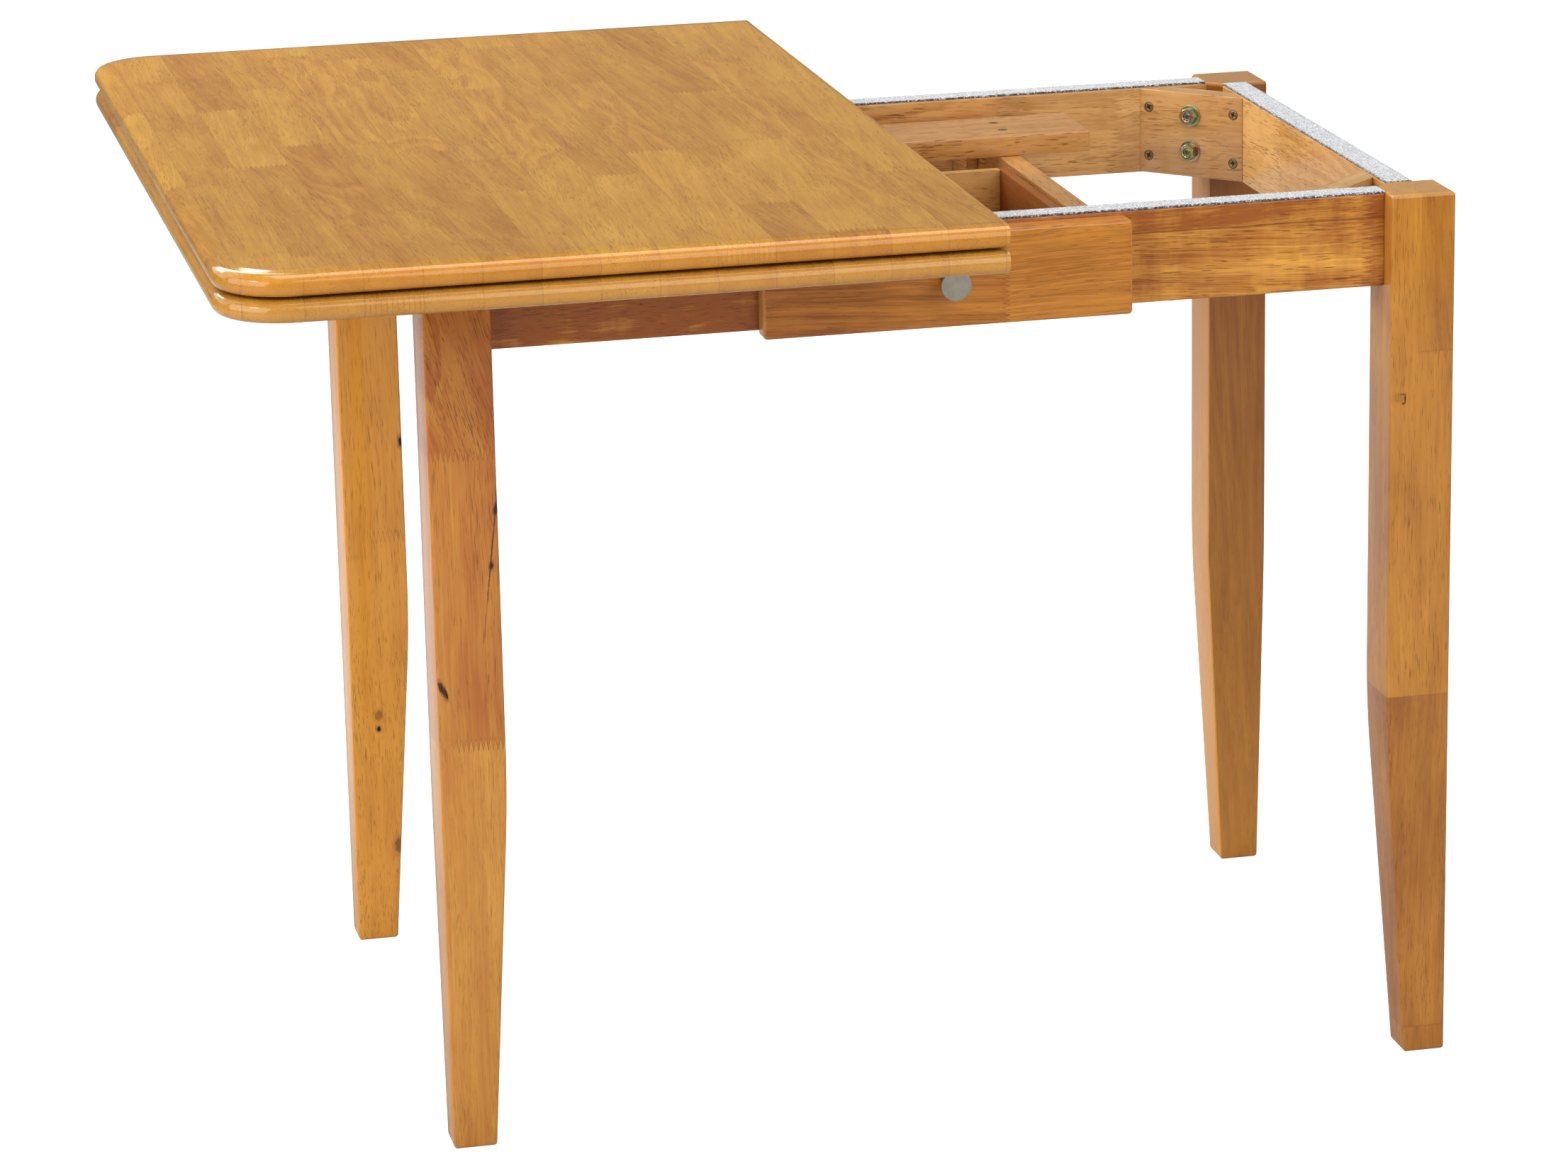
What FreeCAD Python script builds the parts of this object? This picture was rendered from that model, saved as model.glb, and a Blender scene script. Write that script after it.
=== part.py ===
"""Swivel-and-fold-over dining table in solid rubberwood.

The underframe stands on four tapered legs. A pivot board inside it carries a
swivel fitting, on which the top turns a quarter turn about the vertical. The
top is two leaves lying on each other, joined at one edge by three double-pivot
hinges. Turned across the frame, the upper leaf folds over and lies beside the
lower one on the felted rails. A drawer runs in the front rail.

Axes: X along the rails that hold the drawer, Y from the drawer to the back,
Z up. The origin is on the floor, in the middle of the space that the table
takes with its top turned across and folded shut. Left is -X and front is -Y.
"""
import FreeCAD, Part
import math
import os
import re
import Sketcher

Vector = FreeCAD.Vector
Rotation = FreeCAD.Rotation

# Driving dimensions in millimetres.
SIZES = {
    # underframe
    "frame_length": 815, "frame_depth": 535, "leg_height": 711,
    "leg_section": 52, "foot_section": 34, "knee_height": 287,
    "knee_blend": 40, "foot_round": 3,
    "leg_cut": 12, "leg_cut_height": 80,
    "rail_thickness": 22, "rail_setback": 18, "rail_bottom": 636,
    "rail_top": 709.5,
    "passage_width": 280, "passage_top": 685, "felt_thickness": 2,
    # corner blocks and their fasteners
    "block_leg": 71, "block_thickness": 20, "block_bottom": 636.5,
    "block_top": 709, "bolt_pitch": 31, "bolt_radius": 4, "bolt_length": 88,
    "bolt_end": -1, "bolt_hole_radius": 4.5, "leg_bore_start": 24,
    "washer_radius": 9.5, "washer_thickness": 1.6,
    "nut_flats": 13, "nut_thickness": 6.5, "thread_gap": 0.05,
    # cross beams, pivot board and drawer runners
    "beam_spacing": 298, "beam_thickness": 18, "beam_bottom": 632,
    "beam_top": 683, "glue_block_thickness": 10, "glue_block_length": 48,
    "glue_block_height": 40, "glue_block_bottom": 638,
    "board_length": 436, "board_width": 80, "board_thickness": 18,
    "runner_width": 14, "runner_bottom": 632,
    "runner_top": 639.5, "runner_end": 150,
    # swivel fitting between the pivot board and the lower leaf
    "swivel_plate_side": 76, "swivel_plate_thickness": 3,
    "swivel_plate_round": 6,
    "rivet_radius": 6, "rivet_head_radius": 10, "rivet_head_thickness": 3,
    "rivet_recess_radius": 11, "rivet_recess_depth": 3.5,
    "rivet_gap": 0.08, "spacer_radius": 20, "swivel_gap": 0.1,
    "stop_radius": 5, "stop_gap": 0.3, "stop_in_leaf": 10,
    "stop_below_leaf": 25,
    # leaves
    "leaf_length": 580, "leaf_width": 900, "leaf_thickness": 18,
    "leaf_bottom": 712, "leaf_gap": 2, "leaf_corner_radius": 55,
    "leaf_nose_radius": 8, "leaf_edge_round": 2,
    "bumper_radius": 5, "bumper_thickness": 1.8, "bumper_inset": 70,
    # double-pivot hinges between the leaves
    "hinge_spacing": 350, "hinge_width": 12, "hinge_arm_length": 50,
    "hinge_arm_thickness": 2.5, "hinge_skin": 0.2, "hinge_face_gap": 0.3,
    "hinge_block_length": 8, "hinge_block_depth": 7.8,
    "pin_inset": 3.2, "pin_depth": 2.6, "pin_radius": 1.25,
    "pin_gap": 0.05, "link_radius": 2.2, "link_width": 3,
    "slot_gap": 0.15, "recess_gap": 0.1,
    # drawer
    "drawer_front_width": 292, "drawer_front_bottom": 632,
    "drawer_front_top": 706.7, "drawer_front_thickness": 18,
    "drawer_front_gap": 0.5, "drawer_front_round": 3,
    "drawer_box_width": 275, "drawer_box_bottom": 643,
    "drawer_box_top": 681, "drawer_side_thickness": 8,
    "drawer_panel_thickness": 3, "drawer_back_end": 73,
    "drawer_edge_round": 1.5,
    "knob_radius": 12, "knob_face_thickness": 3.5, "knob_chamfer": 1,
    "knob_neck_radius": 4.5, "knob_foot_radius": 7,
    "knob_foot_thickness": 2, "knob_length": 22,
    "knob_screw_radius": 2, "knob_screw_depth": 10,
    "knob_screw_head_radius": 4, "knob_screw_head_thickness": 2.5,
    "button_length": 50, "button_thickness": 10, "button_bottom": 665,
    "button_top": 693,
}

# Lengths that follow from the driving ones, as spreadsheet formulas.
FRAME_X = "((leaf_length - frame_length / 2) / 2)"
HALF_LENGTH = "(frame_length / 2)"
HALF_DEPTH = "(frame_depth / 2)"
RAIL_INNER = "(rail_setback + rail_thickness)"
RAIL_HEIGHT = "(rail_top - rail_bottom)"
BLOCK_MIDDLE = "((rail_top + rail_bottom) / 2 + 1.5)"
BLOCK_FACE = f"({RAIL_INNER} + block_leg / 2)"
BOARD_TOP = "(beam_top + board_thickness)"
LEAF_TOP = "(leaf_bottom + leaf_thickness)"
PIVOT_OFFSET = "(leaf_length / 4)"
PIVOT_X = f"({FRAME_X} - {PIVOT_OFFSET})"
FRONT_INNER = f"(-{HALF_DEPTH} + {RAIL_INNER})"
LINK_PITCH = "(leaf_gap + 2 * pin_depth)"
TAPER = "((leg_section - foot_section) / knee_height)"

NAMES = re.compile(r"\b(" + "|".join(SIZES) + r")\b")
FORWARD, BACKWARD = Vector(0, -1, 0), Vector(0, 1, 0)
UP, DOWN = Vector(0, 0, 1), Vector(0, 0, -1)
TURNED_OVER = Rotation(Vector(1, 0, 0), 180)

document = FreeCAD.newDocument("fold_over_table")
sheet = document.addObject("Spreadsheet::Sheet", "Sizes")
for row, (alias, number) in enumerate(SIZES.items(), start=1):
    sheet.set(f"A{row}", alias)
    sheet.set(f"B{row}", str(number))
    sheet.setAlias(f"B{row}", alias)
document.recompute()

sub_parts = []


# ---- helpers ---------------------------------------------------------------

def formula(text):
    """The text with every driving dimension pointed at its sheet cell."""
    return NAMES.sub(r"Sizes.\1", str(text))


def bind(item, **formulas):
    """Bind properties to formulas; a double underscore stands for a dot."""
    for name, text in formulas.items():
        item.setExpression(name.replace("__", "."), formula(text))


def place(item, x="0", y="0", z="0", rotation=None):
    """Put an object at a place given by formulas, turned by a rotation."""
    if rotation is not None:
        item.Placement = FreeCAD.Placement(Vector(), rotation)
    bind(item, Placement__Base__x=x, Placement__Base__y=y, Placement__Base__z=z)
    return item


def keep(item, label):
    """Name an object as a sub-part of the table."""
    item.Label = label
    sub_parts.append(item)
    return item


def block(label, size, corner):
    """A rectangular piece from three lengths and its lowest corner."""
    item = document.addObject("Part::Box", label)
    bind(item, Length=size[0], Width=size[1], Height=size[2])
    return place(item, *corner)


def cylinder(label, radius, height, corner=("0", "0", "0"), direction=UP):
    """A round bar from its foot, along a direction."""
    item = document.addObject("Part::Cylinder", label)
    bind(item, Radius=radius, Height=height)
    return place(item, *corner, rotation=Rotation(UP, direction))


def copy_of(source, label, x="0", y="0", z="0", rotation=None):
    """A linked copy of an object at a place of its own."""
    item = document.addObject("App::Link", label)
    item.LinkedObject = source
    item.LinkTransform = True
    return place(item, x, y, z, rotation)


def group(label, members):
    """Separate solids held together as one object."""
    item = document.addObject("Part::Compound", label)
    item.Links = members
    return item


def cut(label, solid, tool):
    """One object less another; it must lose some volume."""
    item = document.addObject("Part::Cut", label)
    item.Base = solid
    item.Tool = tool
    document.recompute()
    if item.Shape.Volume >= Part.getShape(solid).Volume:
        raise RuntimeError(f"{label}: the cut removed nothing")
    return item


def new_body(label):
    """An empty PartDesign body."""
    item = document.addObject("PartDesign::Body", label)
    item.Label = label
    return item


def new_sketch(body, plane, offset="0"):
    """A sketch on one of the body's own origin planes, moved along its normal."""
    item = body.newObject("Sketcher::SketchObject", body.Label + "_sketch")
    support = next(f for f in body.Origin.OriginFeatures if f.Role == plane)
    item.AttachmentSupport = [(support, "")]
    item.MapMode = "FlatFace"
    bind(item, AttachmentOffset__Base__z=offset)
    return item


def pin_point(sketch, index, end, x, y):
    """Hold a sketch point at a place given by two formulas."""
    for kind, text in (("DistanceX", x), ("DistanceY", y)):
        key = sketch.addConstraint(Sketcher.Constraint(kind, -1, 1, index, end, 1.0))
        sketch.setExpression(f"Constraints[{key}]", formula(text))


def draw_outline(sketch, corners):
    """A closed straight-sided outline through corners given by formulas."""
    count = len(corners)
    rough = [Vector(math.cos(2 * math.pi * i / count), math.sin(2 * math.pi * i / count), 0)
             for i in range(count)]
    first = sketch.GeometryCount
    for i in range(count):
        sketch.addGeometry(Part.LineSegment(rough[i], rough[(i + 1) % count]), False)
    for i in range(count):
        following = first + (i + 1) % count
        sketch.addConstraint(Sketcher.Constraint("Coincident", first + i, 2, following, 1))
    for i, (x, y) in enumerate(corners):
        pin_point(sketch, first + i, 1, x, y)
    return sketch


def draw_rectangle(sketch, left, low, right, high):
    """A rectangle between two corners given by formulas."""
    return draw_outline(sketch, [(left, low), (right, low), (right, high), (left, high)])


def draw_circle(sketch, x, y, radius):
    """A circle given by formulas."""
    index = sketch.addGeometry(Part.Circle(Vector(0, 0, 0), Vector(0, 0, 1), 1), False)
    pin_point(sketch, index, 3, x, y)
    key = sketch.addConstraint(Sketcher.Constraint("Radius", index, 1.0))
    sketch.setExpression(f"Constraints[{key}]", formula(radius))
    return sketch


def pad(body, sketch, length, both_sides=False):
    """Give a sketch thickness, on one side or half on each."""
    item = body.newObject("PartDesign::Pad", body.Label + "_pad")
    item.Profile = sketch
    bind(item, Length=length)
    item.SideType = "Symmetric" if both_sides else "One side"
    document.recompute()
    return item


def pocket(body, sketch, length, both_sides=False):
    """Cut a sketch into the body; it must lose some volume."""
    before = body.Shape.Volume
    item = body.newObject("PartDesign::Pocket", body.Label + "_pocket")
    item.Profile = sketch
    bind(item, Length=length)
    item.SideType = "Symmetric" if both_sides else "One side"
    document.recompute()
    if body.Shape.Volume >= before:
        raise RuntimeError(f"{body.Label}: a pocket removed nothing")
    return item


def turn(body, corners):
    """Revolve an outline of radius and height about the body's Z axis."""
    sketch = draw_outline(new_sketch(body, "XZ_Plane"), corners)
    item = body.newObject("PartDesign::Revolution", body.Label + "_turned")
    item.Profile = sketch
    item.ReferenceAxis = (sketch, ["V_Axis"])
    item.Angle = 360
    document.recompute()
    return body


def round_edges(body, radius, chosen):
    """Round the edges of the body for which the test is true."""
    base = body.Tip
    names = [f"Edge{i}" for i, edge in enumerate(base.Shape.Edges, start=1) if chosen(edge)]
    item = body.newObject("PartDesign::Fillet", body.Label + "_rounding")
    item.Base = (base, names)
    bind(item, Radius=radius)
    document.recompute()
    return item


def spans(edge, x=None, y=None, z=None):
    """Whether an edge lies wholly at the given coordinates."""
    box = edge.BoundBox
    limits = ((x, box.XMin, box.XMax), (y, box.YMin, box.YMax), (z, box.ZMin, box.ZMax))
    return all(wanted is None or (abs(low - wanted) < 1e-4 and abs(high - wanted) < 1e-4)
               for wanted, low, high in limits)


def size(name):
    """A driving dimension as a number."""
    return float(sheet.get(name))


# ---- corners: leg, block and fasteners -------------------------------------
# A corner is drawn with the leg's outer corner at the origin and the frame's
# inside towards +X and +Y, then turned into its four places.

INWARD = Vector(1, 1, 0)
OUTWARD = Vector(-1, -1, 0)
CORNERS = {
    "front_left": ("-", "-", 0),
    "front_right": ("+", "-", 90),
    "back_right": ("+", "+", 180),
    "back_left": ("-", "+", 270),
}


def corner_copy(source, label, corner):
    """A copy of a corner piece in one of the frame's four corners."""
    x_sign, y_sign, angle = CORNERS[corner]
    return copy_of(source, label, f"{FRAME_X} {x_sign} {HALF_LENGTH}",
                   f"{y_sign}{HALF_DEPTH}", "0", Rotation(UP, angle))


def diagonal_bars(label, radius, start, length):
    """Two round bars on the corner's diagonal, one above the other."""
    bars = []
    for i, sign in enumerate("-+"):
        height = f"{BLOCK_MIDDLE} {sign} bolt_pitch / 2"
        bars.append(cylinder(f"{label}_{i}", radius, length,
                             (f"({start}) * sqrt(1 / 2)", f"({start}) * sqrt(1 / 2)", height),
                             INWARD))
    return group(label, bars)


def draw_taper(sketch, beyond):
    """The waste beside a tapered leg, with an arc that softens the knee."""
    corners = [("leg_section - knee_blend * " + TAPER, "knee_height - knee_blend"),
               ("foot_section", "0"), (beyond, "0"), (beyond, "knee_height + knee_blend"),
               ("leg_section", "knee_height + knee_blend")]
    rough = [Vector(49.5, 247, 0), Vector(34, 0, 0), Vector(57, 0, 0), Vector(57, 327, 0),
             Vector(52, 327, 0)]
    for start, end in zip(rough, rough[1:]):
        sketch.addGeometry(Part.LineSegment(start, end), False)
    arc = sketch.addGeometry(Part.Arc(rough[4], Vector(51.4, 287, 0), rough[0]), False)
    for i in range(3):
        sketch.addConstraint(Sketcher.Constraint("Coincident", i, 2, i + 1, 1))
    for i, (x, y) in enumerate(corners[:4]):
        pin_point(sketch, i, 1, x, y)
    pin_point(sketch, 3, 2, *corners[4])
    low, high = (1, 2) if sketch.getPoint(arc, 1).y < sketch.getPoint(arc, 2).y else (2, 1)
    sketch.addConstraint(Sketcher.Constraint("Coincident", arc, low, 0, 1))
    sketch.addConstraint(Sketcher.Constraint("Coincident", arc, high, 3, 2))
    key = sketch.addConstraint(Sketcher.Constraint("Radius", arc, 1277.0))
    sketch.setExpression(f"Constraints[{key}]",
                         formula(f"knee_blend * ({TAPER} ^ 2 + 4) / (2 * {TAPER})"))
    return sketch


def make_leg():
    """A square leg, straight outside, tapered inside below a soft knee."""
    body = new_body("leg_blank")
    pad(body, draw_rectangle(new_sketch(body, "XY_Plane"), "0", "0",
                             "leg_section", "leg_section"), "leg_height")
    beyond = "leg_section + 5"
    for plane in ("XZ_Plane", "YZ_Plane"):
        taper = draw_taper(new_sketch(body, plane), beyond)
        pocket(body, taper, "3 * leg_section", both_sides=True)
    corner = draw_outline(new_sketch(body, "XY_Plane", "leg_height"), [
        ("leg_section - leg_cut", "leg_section"), ("leg_section", "leg_section - leg_cut"),
        (beyond, "leg_section - leg_cut"), (beyond, beyond),
        ("leg_section - leg_cut", beyond)])
    pocket(body, corner, "leg_cut_height")
    round_edges(body, "foot_round", lambda edge: spans(edge, z=0))
    bores = diagonal_bars("leg_bores", "bolt_radius + thread_gap", "leg_bore_start",
                          "leg_section * sqrt(2)")
    return cut("leg_bored", body, bores)


def make_corners():
    """Legs, corner blocks and their hanger bolts in all four corners."""
    leg = make_leg()
    back_offset = "block_thickness * sqrt(2)"
    body = new_body("corner_block_blank")
    outline = draw_outline(new_sketch(body, "XY_Plane", "block_bottom"), [
        (f"{RAIL_INNER} + block_leg", RAIL_INNER),
        (RAIL_INNER, f"{RAIL_INNER} + block_leg"),
        (RAIL_INNER, f"{RAIL_INNER} + block_leg - {back_offset}"),
        (f"{RAIL_INNER} + block_leg - {back_offset}", RAIL_INNER)])
    pad(body, outline, "block_top - block_bottom")

    face = f"{BLOCK_FACE} * sqrt(2)"
    bolt_tip = f"{face} + washer_thickness + nut_thickness + bolt_end"
    bolts = diagonal_bars("bolts", "bolt_radius", f"{bolt_tip} - bolt_length", "bolt_length")
    through = diagonal_bars("block_bores", "bolt_hole_radius",
                            f"{face} - 2 * block_thickness", "4 * block_thickness")
    corner_block = cut("corner_block_bored", body, through)

    washer_body = new_body("washer")
    ring = new_sketch(washer_body, "XY_Plane")
    draw_circle(ring, "0", "0", "washer_radius")
    draw_circle(ring, "0", "0", "bolt_radius + thread_gap")
    pad(washer_body, ring, "washer_thickness")
    nut_body = new_body("nut")
    hexagon = new_sketch(nut_body, "XY_Plane")
    draw_outline(hexagon, [(f"nut_flats / 2 / cos(30) * cos({60 * i})",
                            f"nut_flats / 2 / cos(30) * sin({60 * i})") for i in range(6)])
    draw_circle(hexagon, "0", "0", "bolt_radius + thread_gap")
    pad(nut_body, hexagon, "nut_thickness")

    def on_face(source, label, lift):
        """Copies of a ring on both bolts, lifted off the block's face."""
        along = f"({face} + {lift}) * sqrt(1 / 2)"
        return group(label, [
            copy_of(source, f"{label}_{i}", along, along,
                    f"{BLOCK_MIDDLE} {sign} bolt_pitch / 2", Rotation(UP, INWARD))
            for i, sign in enumerate("-+")])

    washers = on_face(washer_body, "washers", "0")
    nuts = on_face(nut_body, "nuts", "washer_thickness")

    for corner in CORNERS:
        keep(corner_copy(leg, f"leg_{corner}", corner), f"leg_{corner}")
        keep(corner_copy(corner_block, f"corner_block_{corner}", corner),
             f"corner_block_{corner}")
    for source, label in ((bolts, "leg_hanger_bolts"), (washers, "leg_bolt_washers"),
                          (nuts, "leg_bolt_nuts")):
        copies = [corner_copy(source, f"{label}_{corner}", corner) for corner in CORNERS]
        keep(group(label, copies), label)


# ---- rails, felt, beams and pivot board ------------------------------------

def make_rails():
    """Four rails between the legs, each with a felt strip on its top edge."""
    long_run = "(frame_length - 2 * leg_section)"
    short_run = "(frame_depth - 2 * leg_section)"
    left = f"{FRAME_X} - {HALF_LENGTH}"
    front = f"-{HALF_DEPTH}"
    long_start, short_start = f"{left} + leg_section", f"{front} + leg_section"
    back_face = f"{HALF_DEPTH} - {RAIL_INNER}"
    right_face = f"{FRAME_X} + {HALF_LENGTH} - {RAIL_INNER}"

    body = new_body("rail_front_blank")
    half, passage = f"{long_run} / 2", "passage_width / 2"
    notched = draw_outline(new_sketch(body, "XZ_Plane"), [
        (f"-{half}", "rail_bottom"), (f"-{passage}", "rail_bottom"),
        (f"-{passage}", "passage_top"), (passage, "passage_top"),
        (passage, "rail_bottom"), (half, "rail_bottom"),
        (half, "rail_top"), (f"-{half}", "rail_top")])
    pad(body, notched, "rail_thickness", both_sides=True)
    place(body, FRAME_X, f"{front} + rail_setback + rail_thickness / 2")

    plain = {
        "rail_back": ((long_run, "rail_thickness"), (long_start, back_face)),
        "rail_left": (("rail_thickness", short_run), (f"{left} + rail_setback", short_start)),
        "rail_right": (("rail_thickness", short_run), (right_face, short_start)),
    }
    keep(body, "rail_front")
    for label, (footprint, corner) in plain.items():
        keep(block(label, (*footprint, RAIL_HEIGHT), (*corner, "rail_bottom")), label)
    plain["rail_front"] = ((long_run, "rail_thickness"),
                           (long_start, f"{front} + rail_setback"))
    for label, (footprint, corner) in plain.items():
        felt = label.replace("rail", "felt")
        keep(block(felt, (*footprint, "felt_thickness"), (*corner, "rail_top")), felt)


def make_board():
    """Cross beams, glue blocks, drawer runners and the pivot board on the beams."""
    inner_run = f"(frame_depth - 2 * {RAIL_INNER})"
    back_inner = f"({HALF_DEPTH} - {RAIL_INNER})"
    glue_blocks = []
    for side, sign in (("left", "-"), ("right", "+")):
        middle = f"{FRAME_X} {sign} beam_spacing / 2"
        keep(block(f"cross_beam_{side}",
                   ("beam_thickness", inner_run, "beam_top - beam_bottom"),
                   (f"{middle} - beam_thickness / 2", FRONT_INNER, "beam_bottom")),
             f"cross_beam_{side}")
        inside = "- beam_thickness / 2 - glue_block_thickness" if sign == "+" \
            else "+ beam_thickness / 2"
        outside = "+ beam_thickness / 2" if sign == "+" \
            else "- beam_thickness / 2 - glue_block_thickness"
        glue_size = ("glue_block_thickness", "glue_block_length", "glue_block_height")
        glue_blocks += [
            block(f"glue_block_back_{side}", glue_size,
                  (f"{middle} {inside}", f"{back_inner} - glue_block_length",
                   "glue_block_bottom")),
            block(f"glue_block_front_{side}", glue_size,
                  (f"{middle} {outside}", FRONT_INNER, "glue_block_bottom"))]
        runner_inside = "- beam_thickness / 2 - runner_width" if sign == "+" \
            else "+ beam_thickness / 2"
        keep(block(f"drawer_runner_{side}",
                   ("runner_width", f"runner_end - {FRONT_INNER}",
                    "runner_top - runner_bottom"),
                   (f"{middle} {runner_inside}", FRONT_INNER, "runner_bottom")),
             f"drawer_runner_{side}")
    keep(group("beam_glue_blocks", glue_blocks), "beam_glue_blocks")

    rivet_recess = cylinder("rivet_recess", "rivet_recess_radius", "2 * rivet_recess_depth",
                            (PIVOT_X, PIVOT_OFFSET, f"{BOARD_TOP} - rivet_recess_depth"))
    board = block("pivot_board_blank", ("board_length", "board_width", "board_thickness"),
                  (f"{FRAME_X} - board_length / 2", f"{PIVOT_OFFSET} - board_width / 2",
                   "beam_top"))
    keep(cut("pivot_board", board, rivet_recess), "pivot_board")


# ---- swivel fitting and turn stop ------------------------------------------

def make_swivel():
    """Two plates on one rivet, with a spacer between them, and the dowel stop."""
    centre = (PIVOT_X, PIVOT_OFFSET)
    half = "swivel_plate_side / 2"

    def plate(label, bore, low):
        """A square plate with rounded corners and its bore."""
        body = new_body(label)
        sketch = draw_rectangle(new_sketch(body, "XY_Plane"), f"-{half}", f"-{half}", half, half)
        draw_circle(sketch, "0", "0", bore)
        pad(body, sketch, "swivel_plate_thickness")
        side = size("swivel_plate_side") / 2
        round_edges(body, "swivel_plate_round",
                    lambda edge: any(spans(edge, x=i * side, y=j * side)
                                     for i in (-1, 1) for j in (-1, 1)))
        keep(place(body, *centre, low), label)

    plate("swivel_base_plate", "rivet_radius + rivet_gap", BOARD_TOP)
    plate("swivel_top_plate", "rivet_radius + thread_gap",
          "leaf_bottom - swivel_plate_thickness")

    rivet = new_body("swivel_rivet")
    head = f"{BOARD_TOP} - swivel_gap"
    turn(rivet, [("0", f"{head} - rivet_head_thickness"),
                 ("rivet_head_radius", f"{head} - rivet_head_thickness"),
                 ("rivet_head_radius", head), ("rivet_radius", head),
                 ("rivet_radius", "leaf_bottom"), ("0", "leaf_bottom")])
    keep(place(rivet, *centre), "swivel_rivet")
    spacer = new_body("swivel_spacer")
    ring = new_sketch(spacer, "XY_Plane")
    draw_circle(ring, "0", "0", "spacer_radius")
    draw_circle(ring, "0", "0", "rivet_radius + thread_gap")
    low = f"{BOARD_TOP} + swivel_plate_thickness + swivel_gap"
    pad(spacer, ring, f"leaf_bottom - swivel_plate_thickness - ({low})")
    keep(place(spacer, *centre, low), "swivel_spacer")

    # The dowel meets the pivot board's front edge at both ends of the quarter turn.
    reach = "(board_width / 2 + stop_radius + stop_gap)"
    dowel_place = (f"{PIVOT_X} - {reach}", f"{PIVOT_OFFSET} - {reach}",
                   "leaf_bottom - stop_below_leaf")
    keep(cylinder("turn_stop_dowel", "stop_radius", "stop_below_leaf + stop_in_leaf",
                  dowel_place), "turn_stop_dowel")
    return cylinder("turn_stop_hole", "stop_radius + thread_gap",
                    "stop_below_leaf + stop_in_leaf", dowel_place)


# ---- leaves and their hinges -----------------------------------------------
# A leaf is drawn with its mating face at z = 0 and its hinge edge at x = 0.
# The lower leaf stands that way up and the upper leaf is turned over.

LEAF_PLACES = {
    "lower": ((FRAME_X, "0", LEAF_TOP), None),
    "upper": ((FRAME_X, "0", f"{LEAF_TOP} + leaf_gap"), TURNED_OVER),
}
HINGE_STATIONS = ("-hinge_spacing", "0", "hinge_spacing")


def make_leaf_blank():
    """A leaf with round left corners, a bullnose on three sides and an eased hinge edge."""
    body = new_body("leaf_blank")
    half = "leaf_width / 2"
    outline = draw_rectangle(new_sketch(body, "XY_Plane", "-leaf_thickness"),
                             "-leaf_length", f"-{half}", "0", half)
    pad(body, outline, "leaf_thickness")
    thickness, length = size("leaf_thickness"), size("leaf_length")
    round_edges(body, "leaf_corner_radius",
                lambda edge: spans(edge, x=-length) and edge.BoundBox.ZLength > thickness / 2)
    round_edges(body, "leaf_nose_radius",
                lambda edge: (spans(edge, z=0) or spans(edge, z=-thickness))
                and not spans(edge, x=0))
    round_edges(body, "leaf_edge_round", lambda edge: spans(edge, x=0))
    return body


def make_hinge_pieces():
    """One hinge plate, its recess, pin and link, drawn at the middle of the hinge edge."""
    face, edge = "-hinge_skin", "-hinge_face_gap"
    floor = f"{face} - hinge_block_depth"
    arm_floor = f"{face} - hinge_arm_thickness"
    heel = f"{edge} - hinge_block_length"
    plate = new_body("hinge_plate_blank")
    profile = draw_outline(new_sketch(plate, "XZ_Plane"), [
        ("-hinge_arm_length", face), ("-hinge_arm_length", arm_floor), (heel, arm_floor),
        (heel, floor), (edge, floor), (edge, face)])
    pad(plate, profile, "hinge_width", both_sides=True)
    edge_x, face_z = -size("hinge_face_gap"), -size("hinge_skin")
    round_edges(plate, "leaf_edge_round", lambda item: spans(item, x=edge_x, z=face_z))
    slot = "(link_radius + slot_gap)"
    pocket(plate, draw_rectangle(new_sketch(plate, "XZ_Plane"),
                                 f"-pin_inset - {slot}", f"-pin_depth - {slot}", "1", "1"),
           "link_width + 2 * slot_gap", both_sides=True)
    bore = draw_circle(new_sketch(plate, "XZ_Plane"), "-pin_inset", "-pin_depth", "pin_radius")
    pocket(plate, bore, "2 * hinge_width", both_sides=True)

    recess = new_body("hinge_recess")
    gap = "recess_gap"
    profile = draw_outline(new_sketch(recess, "XZ_Plane"), [
        (f"-hinge_arm_length - {gap}", "1"), (f"-hinge_arm_length - {gap}", f"{arm_floor} - {gap}"),
        (f"{heel} - {gap}", f"{arm_floor} - {gap}"), (f"{heel} - {gap}", f"{floor} - {gap}"),
        ("1", f"{floor} - {gap}"), ("1", "1")])
    pad(recess, profile, f"hinge_width + 2 * {gap}", both_sides=True)

    pin = cylinder("hinge_pin", "pin_radius", "hinge_width",
                   ("-pin_inset", "-hinge_width / 2", "-pin_depth"), BACKWARD)

    link = new_body("hinge_link")
    side = draw_rectangle(new_sketch(link, "XZ_Plane"), "-link_radius", "0", "link_radius",
                          LINK_PITCH)
    pad(link, side, "link_width", both_sides=True)
    for height in ("0", LINK_PITCH):
        end = draw_circle(new_sketch(link, "XZ_Plane"), "0", height, "link_radius")
        pad(link, end, "link_width", both_sides=True)
    for height in ("0", LINK_PITCH):
        hole = draw_circle(new_sketch(link, "XZ_Plane"), "0", height, "pin_radius + pin_gap")
        pocket(link, hole, "2 * link_width", both_sides=True)
    return plate, recess, pin, link


def along_edge(source, label):
    """Three copies of a hinge piece along the hinge edge."""
    return group(label, [copy_of(source, f"{label}_{i}", "0", y)
                         for i, y in enumerate(HINGE_STATIONS)])


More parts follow.
